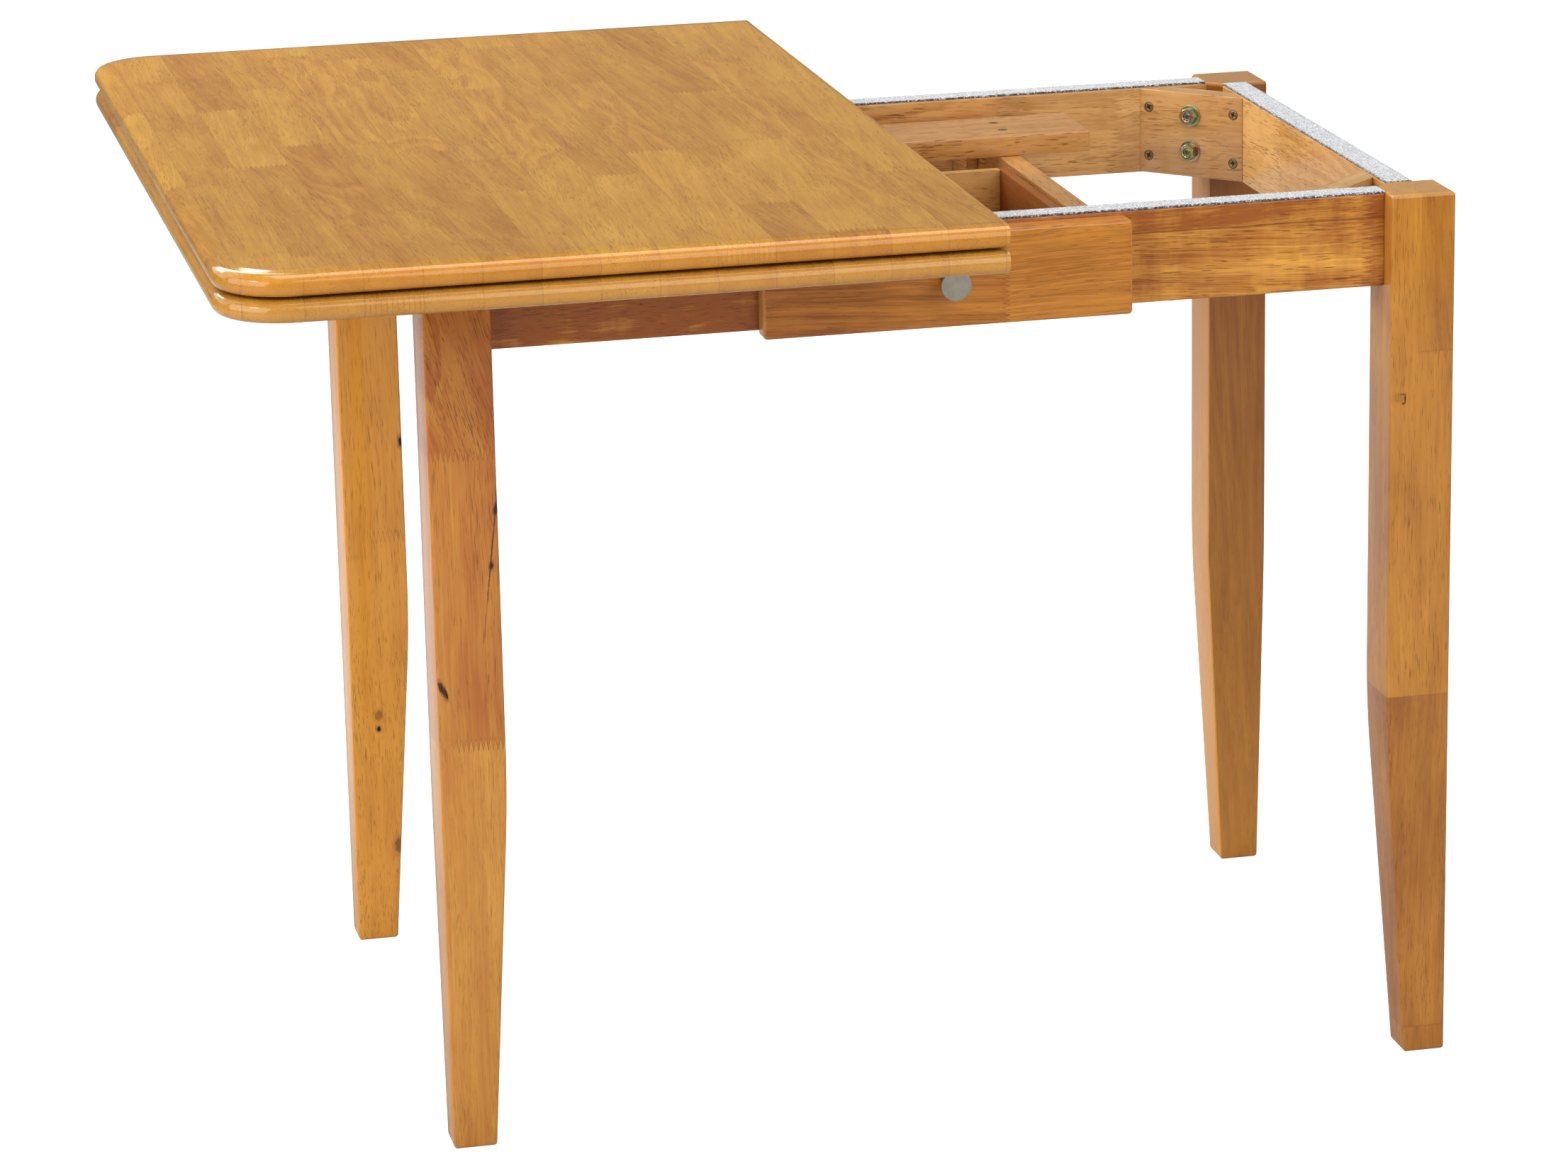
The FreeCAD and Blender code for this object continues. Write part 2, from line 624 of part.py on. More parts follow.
def make_top(dowel_hole):
    """Both leaves with their hinges and the bumpers between them."""
    plate, recess, pin, link = make_hinge_pieces()
    recessed = cut("leaf_recessed", make_leaf_blank(), along_edge(recess, "hinge_recesses"))
    sets = {"hinge_plates": along_edge(plate, "hinge_plate_row"),
            "hinge_pins": along_edge(pin, "hinge_pin_row")}
    for level, (spot, rotation) in LEAF_PLACES.items():
        for label, source in sets.items():
            keep(group(f"{label}_{level}",
                       [copy_of(source, f"{label}_{level}_copy", *spot, rotation=rotation)]),
                 f"{label}_{level}")
    upper_spot, upper_rotation = LEAF_PLACES["upper"]
    keep(copy_of(recessed, "upper_leaf", *upper_spot, rotation=upper_rotation), "upper_leaf")
    standing = copy_of(recessed, "lower_leaf_blank", *LEAF_PLACES["lower"][0])
    keep(cut("lower_leaf", standing, dowel_hole), "lower_leaf")
    keep(group("hinge_links", [
        copy_of(link, f"hinge_link_{i}", f"{FRAME_X} - pin_inset", y, f"{LEAF_TOP} - pin_depth")
        for i, y in enumerate(HINGE_STATIONS)]), "hinge_links")
    keep(group("leaf_bumpers", [
        cylinder(f"leaf_bumper_{name}", "bumper_radius", "bumper_thickness",
                 (f"{FRAME_X} - leaf_length + bumper_inset",
                  f"{sign}(leaf_width / 2 - bumper_inset)", LEAF_TOP))
        for name, sign in (("front", "-"), ("back", "+"))]), "leaf_bumpers")


# ---- drawer ----------------------------------------------------------------

def make_drawer():
    """Drawer box with its overlaid front, knob and turn button."""
    front_face = f"(-{HALF_DEPTH} + rail_setback - drawer_front_gap - drawer_front_thickness)"
    box_front = f"({front_face} + drawer_front_thickness)"
    half_box = "drawer_box_width / 2"
    box_height = "drawer_box_top - drawer_box_bottom"
    box_run = f"drawer_back_end - {box_front}"

    front = new_body("drawer_front_blank")
    half = "drawer_front_width / 2"
    pad(front, draw_rectangle(new_sketch(front, "XZ_Plane"), f"-{half}", "drawer_front_bottom",
                              half, "drawer_front_top"),
        "drawer_front_thickness", both_sides=True)
    half_side = size("drawer_front_width") / 2
    round_edges(front, "drawer_front_round",
                lambda edge: spans(edge, x=half_side) and spans(edge, z=size("drawer_front_top"))
                or spans(edge, x=half_side) and spans(edge, z=size("drawer_front_bottom"))
                or spans(edge, x=-half_side) and spans(edge, z=size("drawer_front_top"))
                or spans(edge, x=-half_side) and spans(edge, z=size("drawer_front_bottom")))
    place(front, FRAME_X, f"{front_face} + drawer_front_thickness / 2")
    middle = "((drawer_front_top + drawer_front_bottom) / 2)"
    screw_hole = cylinder("knob_screw_hole", "knob_screw_radius + thread_gap",
                          "2 * drawer_front_thickness",
                          (FRAME_X, f"{box_front} + 1", middle), FORWARD)
    keep(cut("drawer_front", front, screw_hole), "drawer_front")

    for label, start in (("drawer_side_left", f"{FRAME_X} - {half_box}"),
                         ("drawer_side_right",
                          f"{FRAME_X} + {half_box} - drawer_side_thickness")):
        side = new_body(label)
        pad(side, draw_rectangle(new_sketch(side, "XY_Plane"), "0", "0",
                                 "drawer_side_thickness", box_run), box_height)
        top = size("drawer_box_top") - size("drawer_box_bottom")
        round_edges(side, "drawer_edge_round",
                    lambda edge: any(spans(edge, x=x, z=top)
                                     for x in (0, size("drawer_side_thickness"))))
        keep(place(side, start, box_front, "drawer_box_bottom"), label)
    keep(block("drawer_back", ("drawer_box_width - 2 * drawer_side_thickness",
                               "drawer_side_thickness", box_height),
               (f"{FRAME_X} - {half_box} + drawer_side_thickness",
                "drawer_back_end - drawer_side_thickness", "drawer_box_bottom")), "drawer_back")
    keep(block("drawer_bottom", ("drawer_box_width", box_run, "drawer_panel_thickness"),
               (f"{FRAME_X} - {half_box}", box_front,
                "drawer_box_bottom - drawer_panel_thickness")), "drawer_bottom")
    keep(block("drawer_turn_button",
               ("button_length", "button_thickness", "button_top - button_bottom"),
               (f"{FRAME_X} - button_length / 2", "drawer_back_end", "button_bottom")),
         "drawer_turn_button")

    knob = new_body("knob_blank")
    turn(knob, [("0", "0"), ("knob_foot_radius", "0"),
                ("knob_foot_radius", "knob_foot_thickness"),
                ("knob_neck_radius", "2 * knob_foot_thickness"),
                ("knob_neck_radius", "knob_length - 2 * knob_face_thickness"),
                ("knob_radius", "knob_length - knob_face_thickness"),
                ("knob_radius", "knob_length - knob_chamfer"),
                ("knob_radius - knob_chamfer", "knob_length"), ("0", "knob_length")])
    place(knob, FRAME_X, front_face, middle, Rotation(UP, FORWARD))
    screw_bore = cylinder("knob_screw_bore", "knob_screw_radius + thread_gap",
                          "knob_screw_depth", (FRAME_X, front_face, middle), FORWARD)
    keep(cut("drawer_knob", knob, screw_bore), "drawer_knob")
    screw = new_body("drawer_knob_screw")
    turn(screw, [("0", "-knob_screw_head_thickness"),
                 ("knob_screw_head_radius", "-knob_screw_head_thickness"),
                 ("knob_screw_head_radius", "0"), ("knob_screw_radius", "0"),
                 ("knob_screw_radius", "drawer_front_thickness + knob_screw_depth"),
                 ("0", "drawer_front_thickness + knob_screw_depth")])
    keep(place(screw, FRAME_X, box_front, middle, Rotation(UP, FORWARD)), "drawer_knob_screw")


# ---- the table -------------------------------------------------------------

def check_and_write():
    """Stop on a failed object or a bad shape, then write one STEP file per sub-part."""
    document.recompute()
    for item in document.Objects:
        if "Invalid" in item.State or "Error" in item.State:
            raise RuntimeError(f"{item.Label} failed: {item.State}")
    os.makedirs("parts", exist_ok=True)
    for item in sub_parts:
        shape = Part.getShape(item)
        if shape.isNull() or not shape.isValid() or not shape.Solids:
            raise RuntimeError(f"{item.Label} has no valid solid")
        shape.exportStep(f"parts/{item.Label}.step")
        print(f"{item.Label:28s} {len(shape.Solids):3d} solids {shape.Volume / 1000:10.2f} cm3")


def main():
    """Build the table from the floor up."""
    make_corners()
    make_rails()
    make_board()
    make_top(make_swivel())
    make_drawer()
    check_and_write()


main()
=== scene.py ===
"""Looks of an extending dining table with a turning, folding top and one drawer.

Lengths are in millimetres until a mesh is written, which is in metres.
"""

import logging
import math
from dataclasses import dataclass, field
from enum import Enum

import bmesh
import bpy
import numpy as np
from mathutils import Matrix, Vector


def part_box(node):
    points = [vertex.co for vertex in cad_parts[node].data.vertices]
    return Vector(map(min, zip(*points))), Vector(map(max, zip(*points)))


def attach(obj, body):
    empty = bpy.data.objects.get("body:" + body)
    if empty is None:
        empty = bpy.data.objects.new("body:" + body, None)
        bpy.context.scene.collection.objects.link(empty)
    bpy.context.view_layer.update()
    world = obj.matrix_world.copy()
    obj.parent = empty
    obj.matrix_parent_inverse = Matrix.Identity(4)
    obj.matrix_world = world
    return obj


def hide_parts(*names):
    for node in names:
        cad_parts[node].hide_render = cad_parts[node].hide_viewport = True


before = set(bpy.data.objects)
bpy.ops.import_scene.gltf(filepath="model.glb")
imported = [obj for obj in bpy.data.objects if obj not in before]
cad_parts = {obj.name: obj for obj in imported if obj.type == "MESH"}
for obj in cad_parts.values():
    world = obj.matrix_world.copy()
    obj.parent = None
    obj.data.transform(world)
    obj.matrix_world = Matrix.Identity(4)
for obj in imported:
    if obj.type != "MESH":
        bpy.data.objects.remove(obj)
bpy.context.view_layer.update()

Array = np.ndarray
Point = tuple[float, float, float]
LOG = logging.getLogger("table")
BOARD_CREASE = 35.0
SCREW_CREASE = 50.0
MM = 0.001
EAST: Point = (1.0, 0.0, 0.0)
WEST: Point = (-1.0, 0.0, 0.0)
NORTH: Point = (0.0, 1.0, 0.0)
SOUTH: Point = (0.0, -1.0, 0.0)
UP: Point = (0.0, 0.0, 1.0)
DOWN: Point = (0.0, 0.0, -1.0)
WHITE = (1.0, 1.0, 1.0, 1.0)


# ---------------------------------------------------------------- surfaces

@dataclass(frozen=True)
class Placing:
    """Where a piece's own axes lie on the table."""

    origin: Point = (0.0, 0.0, 0.0)
    along: Point = EAST
    across: Point = NORTH
    up: Point = UP

    def carry(self, points: Array) -> Array:
        """Points of the piece on the table: origin plus each coordinate times its direction."""
        return np.asarray(self.origin) + points @ np.array([self.along, self.across, self.up])


def arc(start: float, end: float, steps: int) -> Array:
    """Unit circle points at equal angles from start to end, in degrees."""
    turn = np.radians(np.linspace(start, end, steps))
    return np.stack([np.cos(turn), np.sin(turn)], -1)


def angles(sides: int) -> Array:
    """Equal angles all the way round, in radians."""
    return np.linspace(0, 2 * np.pi, sides, endpoint=False)


def turned(radius: Array, height: Array, angle: Array, x: float = 0.0, y: float = 0.0) -> Array:
    """Points at a radius and a height, round an upright axis at x and y."""
    radius, height, angle = np.broadcast_arrays(radius, height, angle)
    return np.stack([radius * np.cos(angle) + x, radius * np.sin(angle) + y, height], -1)


def rounded(corners: Array, radii: Array, steps: int) -> Array:
    """Outline with an arc at each corner.

    The arc starts and ends at radius times tan(half the turn) from the corner,
    and its points are the start direction turned by equal angles about the centre.

    Args:
        corners: Corner points, counter-clockwise.
        radii: Radius at each corner, or one for all.
        steps: Points on each arc.

    Returns:
        The outline's points, counter-clockwise.
    """
    corners = np.asarray(corners, float)
    radii = np.broadcast_to(np.asarray(radii, float), len(corners))
    ahead = np.roll(corners, -1, 0) - corners
    ahead /= np.linalg.norm(ahead, axis=1, keepdims=True)
    behind = np.roll(ahead, 1, 0)
    sine = behind[:, 0] * ahead[:, 1] - behind[:, 1] * ahead[:, 0]
    turn = np.arctan2(sine, (behind * ahead).sum(1))
    side = np.sign(turn)
    reach = radii * np.abs(np.tan(turn / 2))
    start = corners - behind * reach[:, None]
    left = np.stack([-behind[:, 1], behind[:, 0]], -1) * (side * radii)[:, None]
    angle = turn[:, None] * np.linspace(0, 1, steps)
    cos, sin = np.cos(angle)[..., None], np.sin(angle)[..., None]
    spoke = -left[:, None, :]
    turned = cos * spoke + sin * np.stack([-spoke[..., 1], spoke[..., 0]], -1)
    return ((start + left)[:, None, :] + turned).reshape(-1, 2)


def inward(outline: Array, inset: Array) -> Array:
    """Outline moved inwards, each edge by its own inset.

    A corner goes where its two moved edges meet; where they run almost straight on,
    it goes along the mean of their normals.

    Args:
        outline: Points, counter-clockwise.
        inset: Inset of the edge that starts at each point, or one for all.

    Returns:
        The moved points.
    """
    edge = np.roll(outline, -1, 0) - outline
    edge /= np.linalg.norm(edge, axis=1, keepdims=True)
    ahead = np.stack([-edge[:, 1], edge[:, 0]], -1)
    behind = np.roll(ahead, 1, 0)
    far = np.broadcast_to(np.asarray(inset, float), len(outline))
    near = np.roll(far, 1)
    cross = behind[:, 0] * ahead[:, 1] - behind[:, 1] * ahead[:, 0]
    safe = np.where(np.abs(cross) > 0.5, cross, 1.0)
    met = np.stack([near * ahead[:, 1] - far * behind[:, 1],
                    far * behind[:, 0] - near * ahead[:, 0]], -1) / safe[:, None]
    mean = behind + ahead
    mean *= ((near + far) / (mean * ahead).sum(1) / 2)[:, None]
    return outline + np.where(np.abs(cross)[:, None] > 0.5, met, mean)


def eased(thickness: float, low: float, high: float, steps: int = 4, shelf: float = 1.2) -> Array:
    """Inset and height of each ring of a board whose two faces have quarter-round arrises.

    Args:
        thickness: Board thickness.
        low: Arris radius of the lower face.
        high: Arris radius of the upper face.
        steps: Rings on each arris.
        shelf: Width of the flat ring inside each face.

    Returns:
        One row of inset and height for each ring, from the lower face to the upper.
    """
    first, last = arc(180, 90, steps), arc(90, 180, steps)
    under = np.stack([low + low * first[:, 0], low - low * first[:, 1]], -1)[::-1]
    over = np.stack([high + high * last[:, 0], thickness - high + high * last[:, 1]], -1)[::-1]
    return np.concatenate([[[low + shelf, 0]], under, over, [[high + shelf, thickness]]])


class Shell:
    """Points and faces of one piece as they are gathered, and the mesh made of them."""

    def __init__(self, placing: Placing = Placing()) -> None:
        """Starts an empty shell.

        Args:
            placing: Axes that points are given on.
        """
        self.placing = placing
        self.points: list[Array] = []
        self.marks: list[Array] = []
        self.faces: list[list[int]] = []
        self.count = 0

    def take(self, points: Array, mark: float | Array = 0.0) -> Array:
        """Adds points, with the recess mark that their material reads.

        Args:
            points: Array of points, of any shape that ends in 3.
            mark: 0 on plain surface to 1 deep in a screw recess; metals take painted shade from it,
                felt its dark edge flecks.

        Returns:
            The index of each point, in the shape of the array.
        """
        flat = points.reshape(-1, 3)
        self.points.append(self.placing.carry(flat))
        self.marks.append(np.broadcast_to(mark, points.shape[:-1]).reshape(-1))
        index = np.arange(len(flat)).reshape(points.shape[:-1]) + self.count
        self.count += len(flat)
        return index

    def grid(self, points: Array, mark: float | Array = 0.0) -> Array:
        """Adds a sheet of four-sided faces over points[u, v], closed round v.

        A face looks outwards where v runs counter-clockwise about the way u climbs.

        Args:
            points: The points by row u and column v.
            mark: Recess mark of the points.

        Returns:
            The index of each point.
        """
        here = self.take(points, mark)
        there = np.roll(here, -1, 1)
        quads = np.stack([here[:-1], there[:-1], there[1:], here[1:]], -1)
        self.faces += quads.reshape(-1, 4).tolist()
        return here

    def solid(self, rings: Array, mark: float | Array = 0.0) -> None:
        """Adds a closed solid: a sheet over rings[u, v] with its first and last ring filled."""
        index = self.grid(rings, mark)
        self.faces += [index[0, ::-1].tolist(), index[-1].tolist()]

    def board(self, corners: Array, radius: float, profile: Array, steps: int = 4) -> None:
        """Adds a board with rounded corners.

        For each inset and height of the profile, the corners are moved in and rounded; a
        convex corner's radius shrinks by the inset and a hollow one's grows by it.

        Args:
            corners: Corners of the outline, counter-clockwise.
            radius: Corner radius where the inset is nothing.
            profile: Rows of inset and height, from the lower face to the upper.
            steps: Points on each corner's arc.
        """
        corners = np.asarray(corners, float)
        ahead, behind = np.roll(corners, -1, 0) - corners, corners - np.roll(corners, 1, 0)
        way = np.sign(behind[:, 0] * ahead[:, 1] - behind[:, 1] * ahead[:, 0])
        rings = []
        for inset, height in profile:
            ring = rounded(inward(corners, inset), np.maximum(radius - way * inset, 0.1), steps)
            rings.append(np.column_stack([ring, np.full(len(ring), height)]))
        self.solid(np.stack(rings))

    def lathe(self, profile: list, sides: int = 32, centre: Point = (0.0, 0.0, 0.0)) -> None:
        """Adds a turned solid.

        Args:
            profile: Rows of radius and height, from the bottom centre out and up to the top.
            sides: Points round.
            centre: Where the turning axis stands on the piece's axes.
        """
        rows = np.array(profile, float)
        self.solid(turned(rows[:, :1], rows[:, 1:], angles(sides)) + np.array(centre))

    def write(self, name: str, crease: float) -> bpy.types.Object:
        """Makes the mesh object, in metres, with doubled points merged and sharp edges found.

        Args:
            name: Piece name.
            crease: Angle between faces, in degrees, past which an edge is sharp.

        Returns:
            The new object, linked to the scene.
        """
        mesh = bpy.data.meshes.new(name)
        mesh.from_pydata((np.concatenate(self.points) * MM).tolist(), [], self.faces)
        marks = np.concatenate(self.marks).astype(np.float32)
        if marks.any():
            mesh.attributes.new("recess", "FLOAT", "POINT").data.foreach_set("value", marks)
        work = bmesh.new()
        work.from_mesh(mesh)
        bmesh.ops.remove_doubles(work, verts=work.verts, dist=1e-6)
        work.to_mesh(mesh)
        work.free()
        mesh.shade_smooth()
        mesh.set_sharp_from_angle(angle=math.radians(crease))
        piece = bpy.data.objects.new(name, mesh)
        bpy.context.scene.collection.objects.link(piece)
        return piece


def rectangle(left: float, right: float, low: float, high: float) -> Array:
    """Four corners, counter-clockwise."""
    return np.array([[left, low], [right, low], [right, high], [left, high]], float)


def block(low: Point, high: Point, ease: float) -> Shell:
    """Squared block with every arris eased.

    Args:
        low: Lowest corner.
        high: Highest corner.
        ease: Radius of the arrises.

    Returns:
        The block's shell.
    """
    shell = Shell()
    shell.board(rectangle(low[0], high[0], low[1], high[1]), ease,
                eased(high[2] - low[2], ease, ease) + [0, low[2]])
    return shell


def cad_box(node: str) -> tuple[Array, Array]:
    """Low and high corner of a solid's box."""
    low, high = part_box(node)
    return np.array(low) / MM, np.array(high) / MM


def slab(node: str, ease: float) -> Shell:
    """Shell of a squared block that fills a solid's box, with every arris eased."""
    return block(*cad_box(node), ease)


# ---------------------------------------------------------------- shader groups

# Waves per metre of each noise: along the grain, across it and deep.
BEND_SIZE = (6.0, 16.0, 16.0)
SWAY_SIZE = (2.6, 4.0, 4.0)
SWELL_SIZE = (3.4, 4.0, 4.0)
WOBBLE_SIZE = (16.0, 120.0, 120.0)
FINE_STREAK_SIZE = (13.0, 620.0, 620.0)
WIDE_STREAK_SIZE = (5.0, 110.0, 110.0)
DASH_SIZE = (66.0, 1250.0, 1250.0)
CROWD_SIZE = (9.0, 60.0, 60.0)
PATCH_SIZE = (9.0, 30.0, 30.0)
# Ripple waves: patches of painted sheen, the chatoyance of ripple figure.
RIPPLE_SHEEN_SIZE = (38.0, 13.0, 13.0)
SCRATCH_SIZE = (300.0, 3200.0, 3200.0)
FIBRE_SIZE = (330.0, 1500.0, 1200.0)
CROSSED_FIBRE_SIZE = (1500.0, 330.0, 1200.0)
# Distance from a line, in metres, over which its mask falls from 1 to 0.
JOINT_FADE = (0.0002, 0.0009, 1.0, 0.0)
SEAM_FADE = (0.0001, 0.0006, 1.0, 0.0)
FAINT_FIGURE = (0.4, 0.4, 0.4, 1.0)


class Graph:
    """Short calls that add and join nodes in one node tree."""

    def __init__(self, tree: bpy.types.NodeTree) -> None:
        """Holds the tree that nodes are added to."""
        self.tree = tree

    def fill(self, node: bpy.types.Node, inputs: dict) -> bpy.types.Node:
        """Sets a node's inputs.

        Args:
            node: The node.
            inputs: Value, or socket to join, for each input by name or index.

        Returns:
            The same node.
        """
        for key, value in inputs.items():
            if isinstance(value, bpy.types.NodeSocket):
                self.tree.links.new(value, node.inputs[key])
            else:
                node.inputs[key].default_value = value
        return node

    def add(self, kind: str, inputs: dict | None = None, **settings: object) -> bpy.types.Node:
        """Adds a node.

        Args:
            kind: Node type without its ShaderNode prefix.
            inputs: Value or socket for each input, by name or index.
            settings: Node properties.

        Returns:
            The node.
        """
        node = self.tree.nodes.new("ShaderNode" + kind)
        for key, value in settings.items():
            setattr(node, key, value)
        return self.fill(node, inputs or {})

    def math(self, operation: str, *values: object, clamp: bool = False) -> bpy.types.NodeSocket:
        """Output of a Math node on up to three values or sockets."""
        return self.add("Math", dict(enumerate(values)), operation=operation,
                        use_clamp=clamp).outputs[0]

    def plus(self, *values: object, clamp: bool = False) -> bpy.types.NodeSocket:
        """Sum of two values."""
        return self.math("ADD", *values, clamp=clamp)

    def minus(self, *values: object) -> bpy.types.NodeSocket:
        """First value less the second."""
        return self.math("SUBTRACT", *values)

    def times(self, *values: object) -> bpy.types.NodeSocket:
        """Product of two values."""
        return self.math("MULTIPLY", *values)

    def over(self, *values: object) -> bpy.types.NodeSocket:
        """First value over the second."""
        return self.math("DIVIDE", *values)

    def vector(self, operation: str, *values: object, out: int = 0) -> bpy.types.NodeSocket:
        """Output of a Vector Math node: 0 for its vector, 1 for its number."""
        return self.add("VectorMath", dict(enumerate(values)), operation=operation).outputs[out]

    def noise(self, vector: object, scale: float, detail: float = 2.0, rough: float = 0.5,
              size: Point | None = None) -> bpy.types.NodeSocket:
        """Value of a noise.

        Args:
            vector: Where it is read.
            scale: Waves per metre.
            detail: Number of finer noises added.
            rough: Strength of the finer ones.
            size: Stretch of the vector before it is read.

        Returns:
            The value's socket.
        """
        if size:
            vector = self.vector("MULTIPLY", vector, size)
        return self.add("TexNoise", {"Vector": vector, "Scale": scale, "Detail": detail,
                                     "Roughness": rough}).outputs[0]

    def range(self, value: object, low: float, high: float, to_low: float = 0.0,
              to_high: float = 1.0, kind: str = "LINEAR") -> bpy.types.NodeSocket:
        """Value carried from one range to another and held inside it."""
        return self.add("MapRange", {0: value, 1: low, 2: high, 3: to_low, 4: to_high},
                        interpolation_type=kind).outputs[0]

    def mix(self, factor: object, first: object, second: object) -> bpy.types.NodeSocket:
        """Colour mixed from first to second by factor."""
        return self.add("Mix", {0: factor, 6: first, 7: second}, data_type="RGBA").outputs[2]

    def parts(self, vector: object) -> list[bpy.types.NodeSocket]:
        """The three coordinates of a vector."""
        return list(self.add("SeparateXYZ", {0: vector}).outputs)

    def join(self, x: object, y: object, z: object) -> bpy.types.NodeSocket:
        """A vector of three values."""
        return self.add("CombineXYZ", {0: x, 1: y, 2: z}).outputs[0]

    def bump(self, height: object, strength: float, distance: float) -> bpy.types.NodeSocket:
        """Normal of a surface raised by a height, over a distance in metres."""
        return self.add("Bump", {"Height": height, "Strength": strength,
                                 "Distance": distance}).outputs[0]

    def recess(self) -> bpy.types.NodeSocket:
        """The recess mark of the mesh."""
        return self.add("Attribute", attribute_name="recess").outputs["Fac"]

    def camera_ray(self) -> bpy.types.NodeSocket:
        """1 on rays straight from the camera."""
        return self.add("LightPath").outputs["Is Camera Ray"]

    def group(self, name: str, **inputs: object) -> dict:
        """Outputs of a shader group placed with its values."""
        return self.add("Group", inputs, node_tree=bpy.data.node_groups[name]).outputs


def new_group(name: str, inputs: dict[str, object],
              outputs: dict[str, str]) -> tuple[Graph, dict, bpy.types.Node]:
    """Starts a shader group.

    Args:
        name: Group name.
        inputs: Default of each input by name: a number, or None for a vector.
        outputs: Kind of each output by name: Float, Vector or Color.

    Returns:
        The graph, the input sockets by name and the output node.
    """
    tree = bpy.data.node_groups.new(name, "ShaderNodeTree")
    for key, value in inputs.items():
        kind = "NodeSocketVector" if value is None else "NodeSocketFloat"
        socket = tree.interface.new_socket(key, in_out="INPUT", socket_type=kind)
        if value is not None:
            socket.default_value = value
    for key, kind in outputs.items():
        tree.interface.new_socket(key, in_out="OUTPUT", socket_type="NodeSocket" + kind)
    start, end = tree.nodes.new("NodeGroupInput"), tree.nodes.new("NodeGroupOutput")
    return Graph(tree), {key: start.outputs[key] for key in inputs}, end


def zigzag(g: Graph, across: object, put: dict) -> bpy.types.NodeSocket:
    """Triangle wave over across, of the group's own pitch and finger length."""
    wave = g.math("PINGPONG", g.over(across, put["Pitch"]), 0.5)
    return g.times(g.minus(wave, 0.25), g.times(put["Finger"], 2.0))


def make_block_group() -> None:
    """Glued-up timber: strips side by side, each of short blocks finger-jointed end to end.

    Strip number is across / width rounded down. A block ends where along / length passes a
    whole number moved by a random part of a block, with the finger wave added to along.
    """
    g, put, end = new_group(
        "timber_blocks",
        {"Vector": None, "Width": 0.045, "Length": 0.3, "Pitch": 0.004, "Finger": 0.011,
         "Seed": 0.0},
        {"Tone": "Float", "Chance": "Vector", "Joint": "Float", "Seam": "Float"})
    x, y, _ = g.parts(put["Vector"])
    lane = g.over(y, put["Width"])
    lot = g.plus(g.math("FLOOR", lane), g.times(put["Seed"], 7.31))
    start = g.add("TexWhiteNoise", {"W": lot}, noise_dimensions="1D").outputs[0]
    along = g.over(g.plus(x, zigzag(g, y, put)), put["Length"])
    along = g.plus(along, g.times(start, 13.0))
    near = g.math("ROUND", along)
    move = g.add("TexWhiteNoise", {"Vector": g.join(near, lot, 3.0)},
                 noise_dimensions="3D").outputs[0]
    past = g.minus(g.minus(along, near), g.times(g.minus(move, 0.5), 0.7))
    cell = g.plus(near, g.math("GREATER_THAN", past, 0.0))
    chance = g.add("TexWhiteNoise", {"Vector": g.join(cell, lot, 0.0)}, noise_dimensions="3D")
    gap = g.times(g.math("ABSOLUTE", past), put["Length"])
    rest = g.math("ABSOLUTE", g.minus(g.math("FRACT", lane), 0.5))
    edge = g.times(g.minus(0.5, rest), put["Width"])
    g.fill(end, {"Tone": chance.outputs[0], "Chance": chance.outputs[1],
                 "Joint": g.range(gap, *JOINT_FADE), "Seam": g.range(edge, *SEAM_FADE)})


def make_joint_group() -> None:
    """One finger joint across a board at a stated place.

    The finger wave over across is added to along; the mask is 1 past the place, between the
    two across limits, and the line is where the two boards meet.
    """
    g, put, end = new_group(
        "finger_joint",
        {"Along": 0.0, "Across": 0.0, "Place": 0.0, "Finger": 0.01, "Pitch": 0.0038,
         "Low": -9.0, "High": 9.0},
        {"Mask": "Float", "Line": "Float"})
    past = g.minus(g.plus(put["Along"], zigzag(g, put["Across"], put)), put["Place"])
    lane = g.times(g.math("GREATER_THAN", put["Across"], put["Low"]),
                   g.math("LESS_THAN", put["Across"], put["High"]))
    line = g.range(g.math("ABSOLUTE", past), *JOINT_FADE)
    g.fill(end, {"Mask": g.times(g.math("GREATER_THAN", past, 0.0), lane),
                 "Line": g.times(line, lane)})


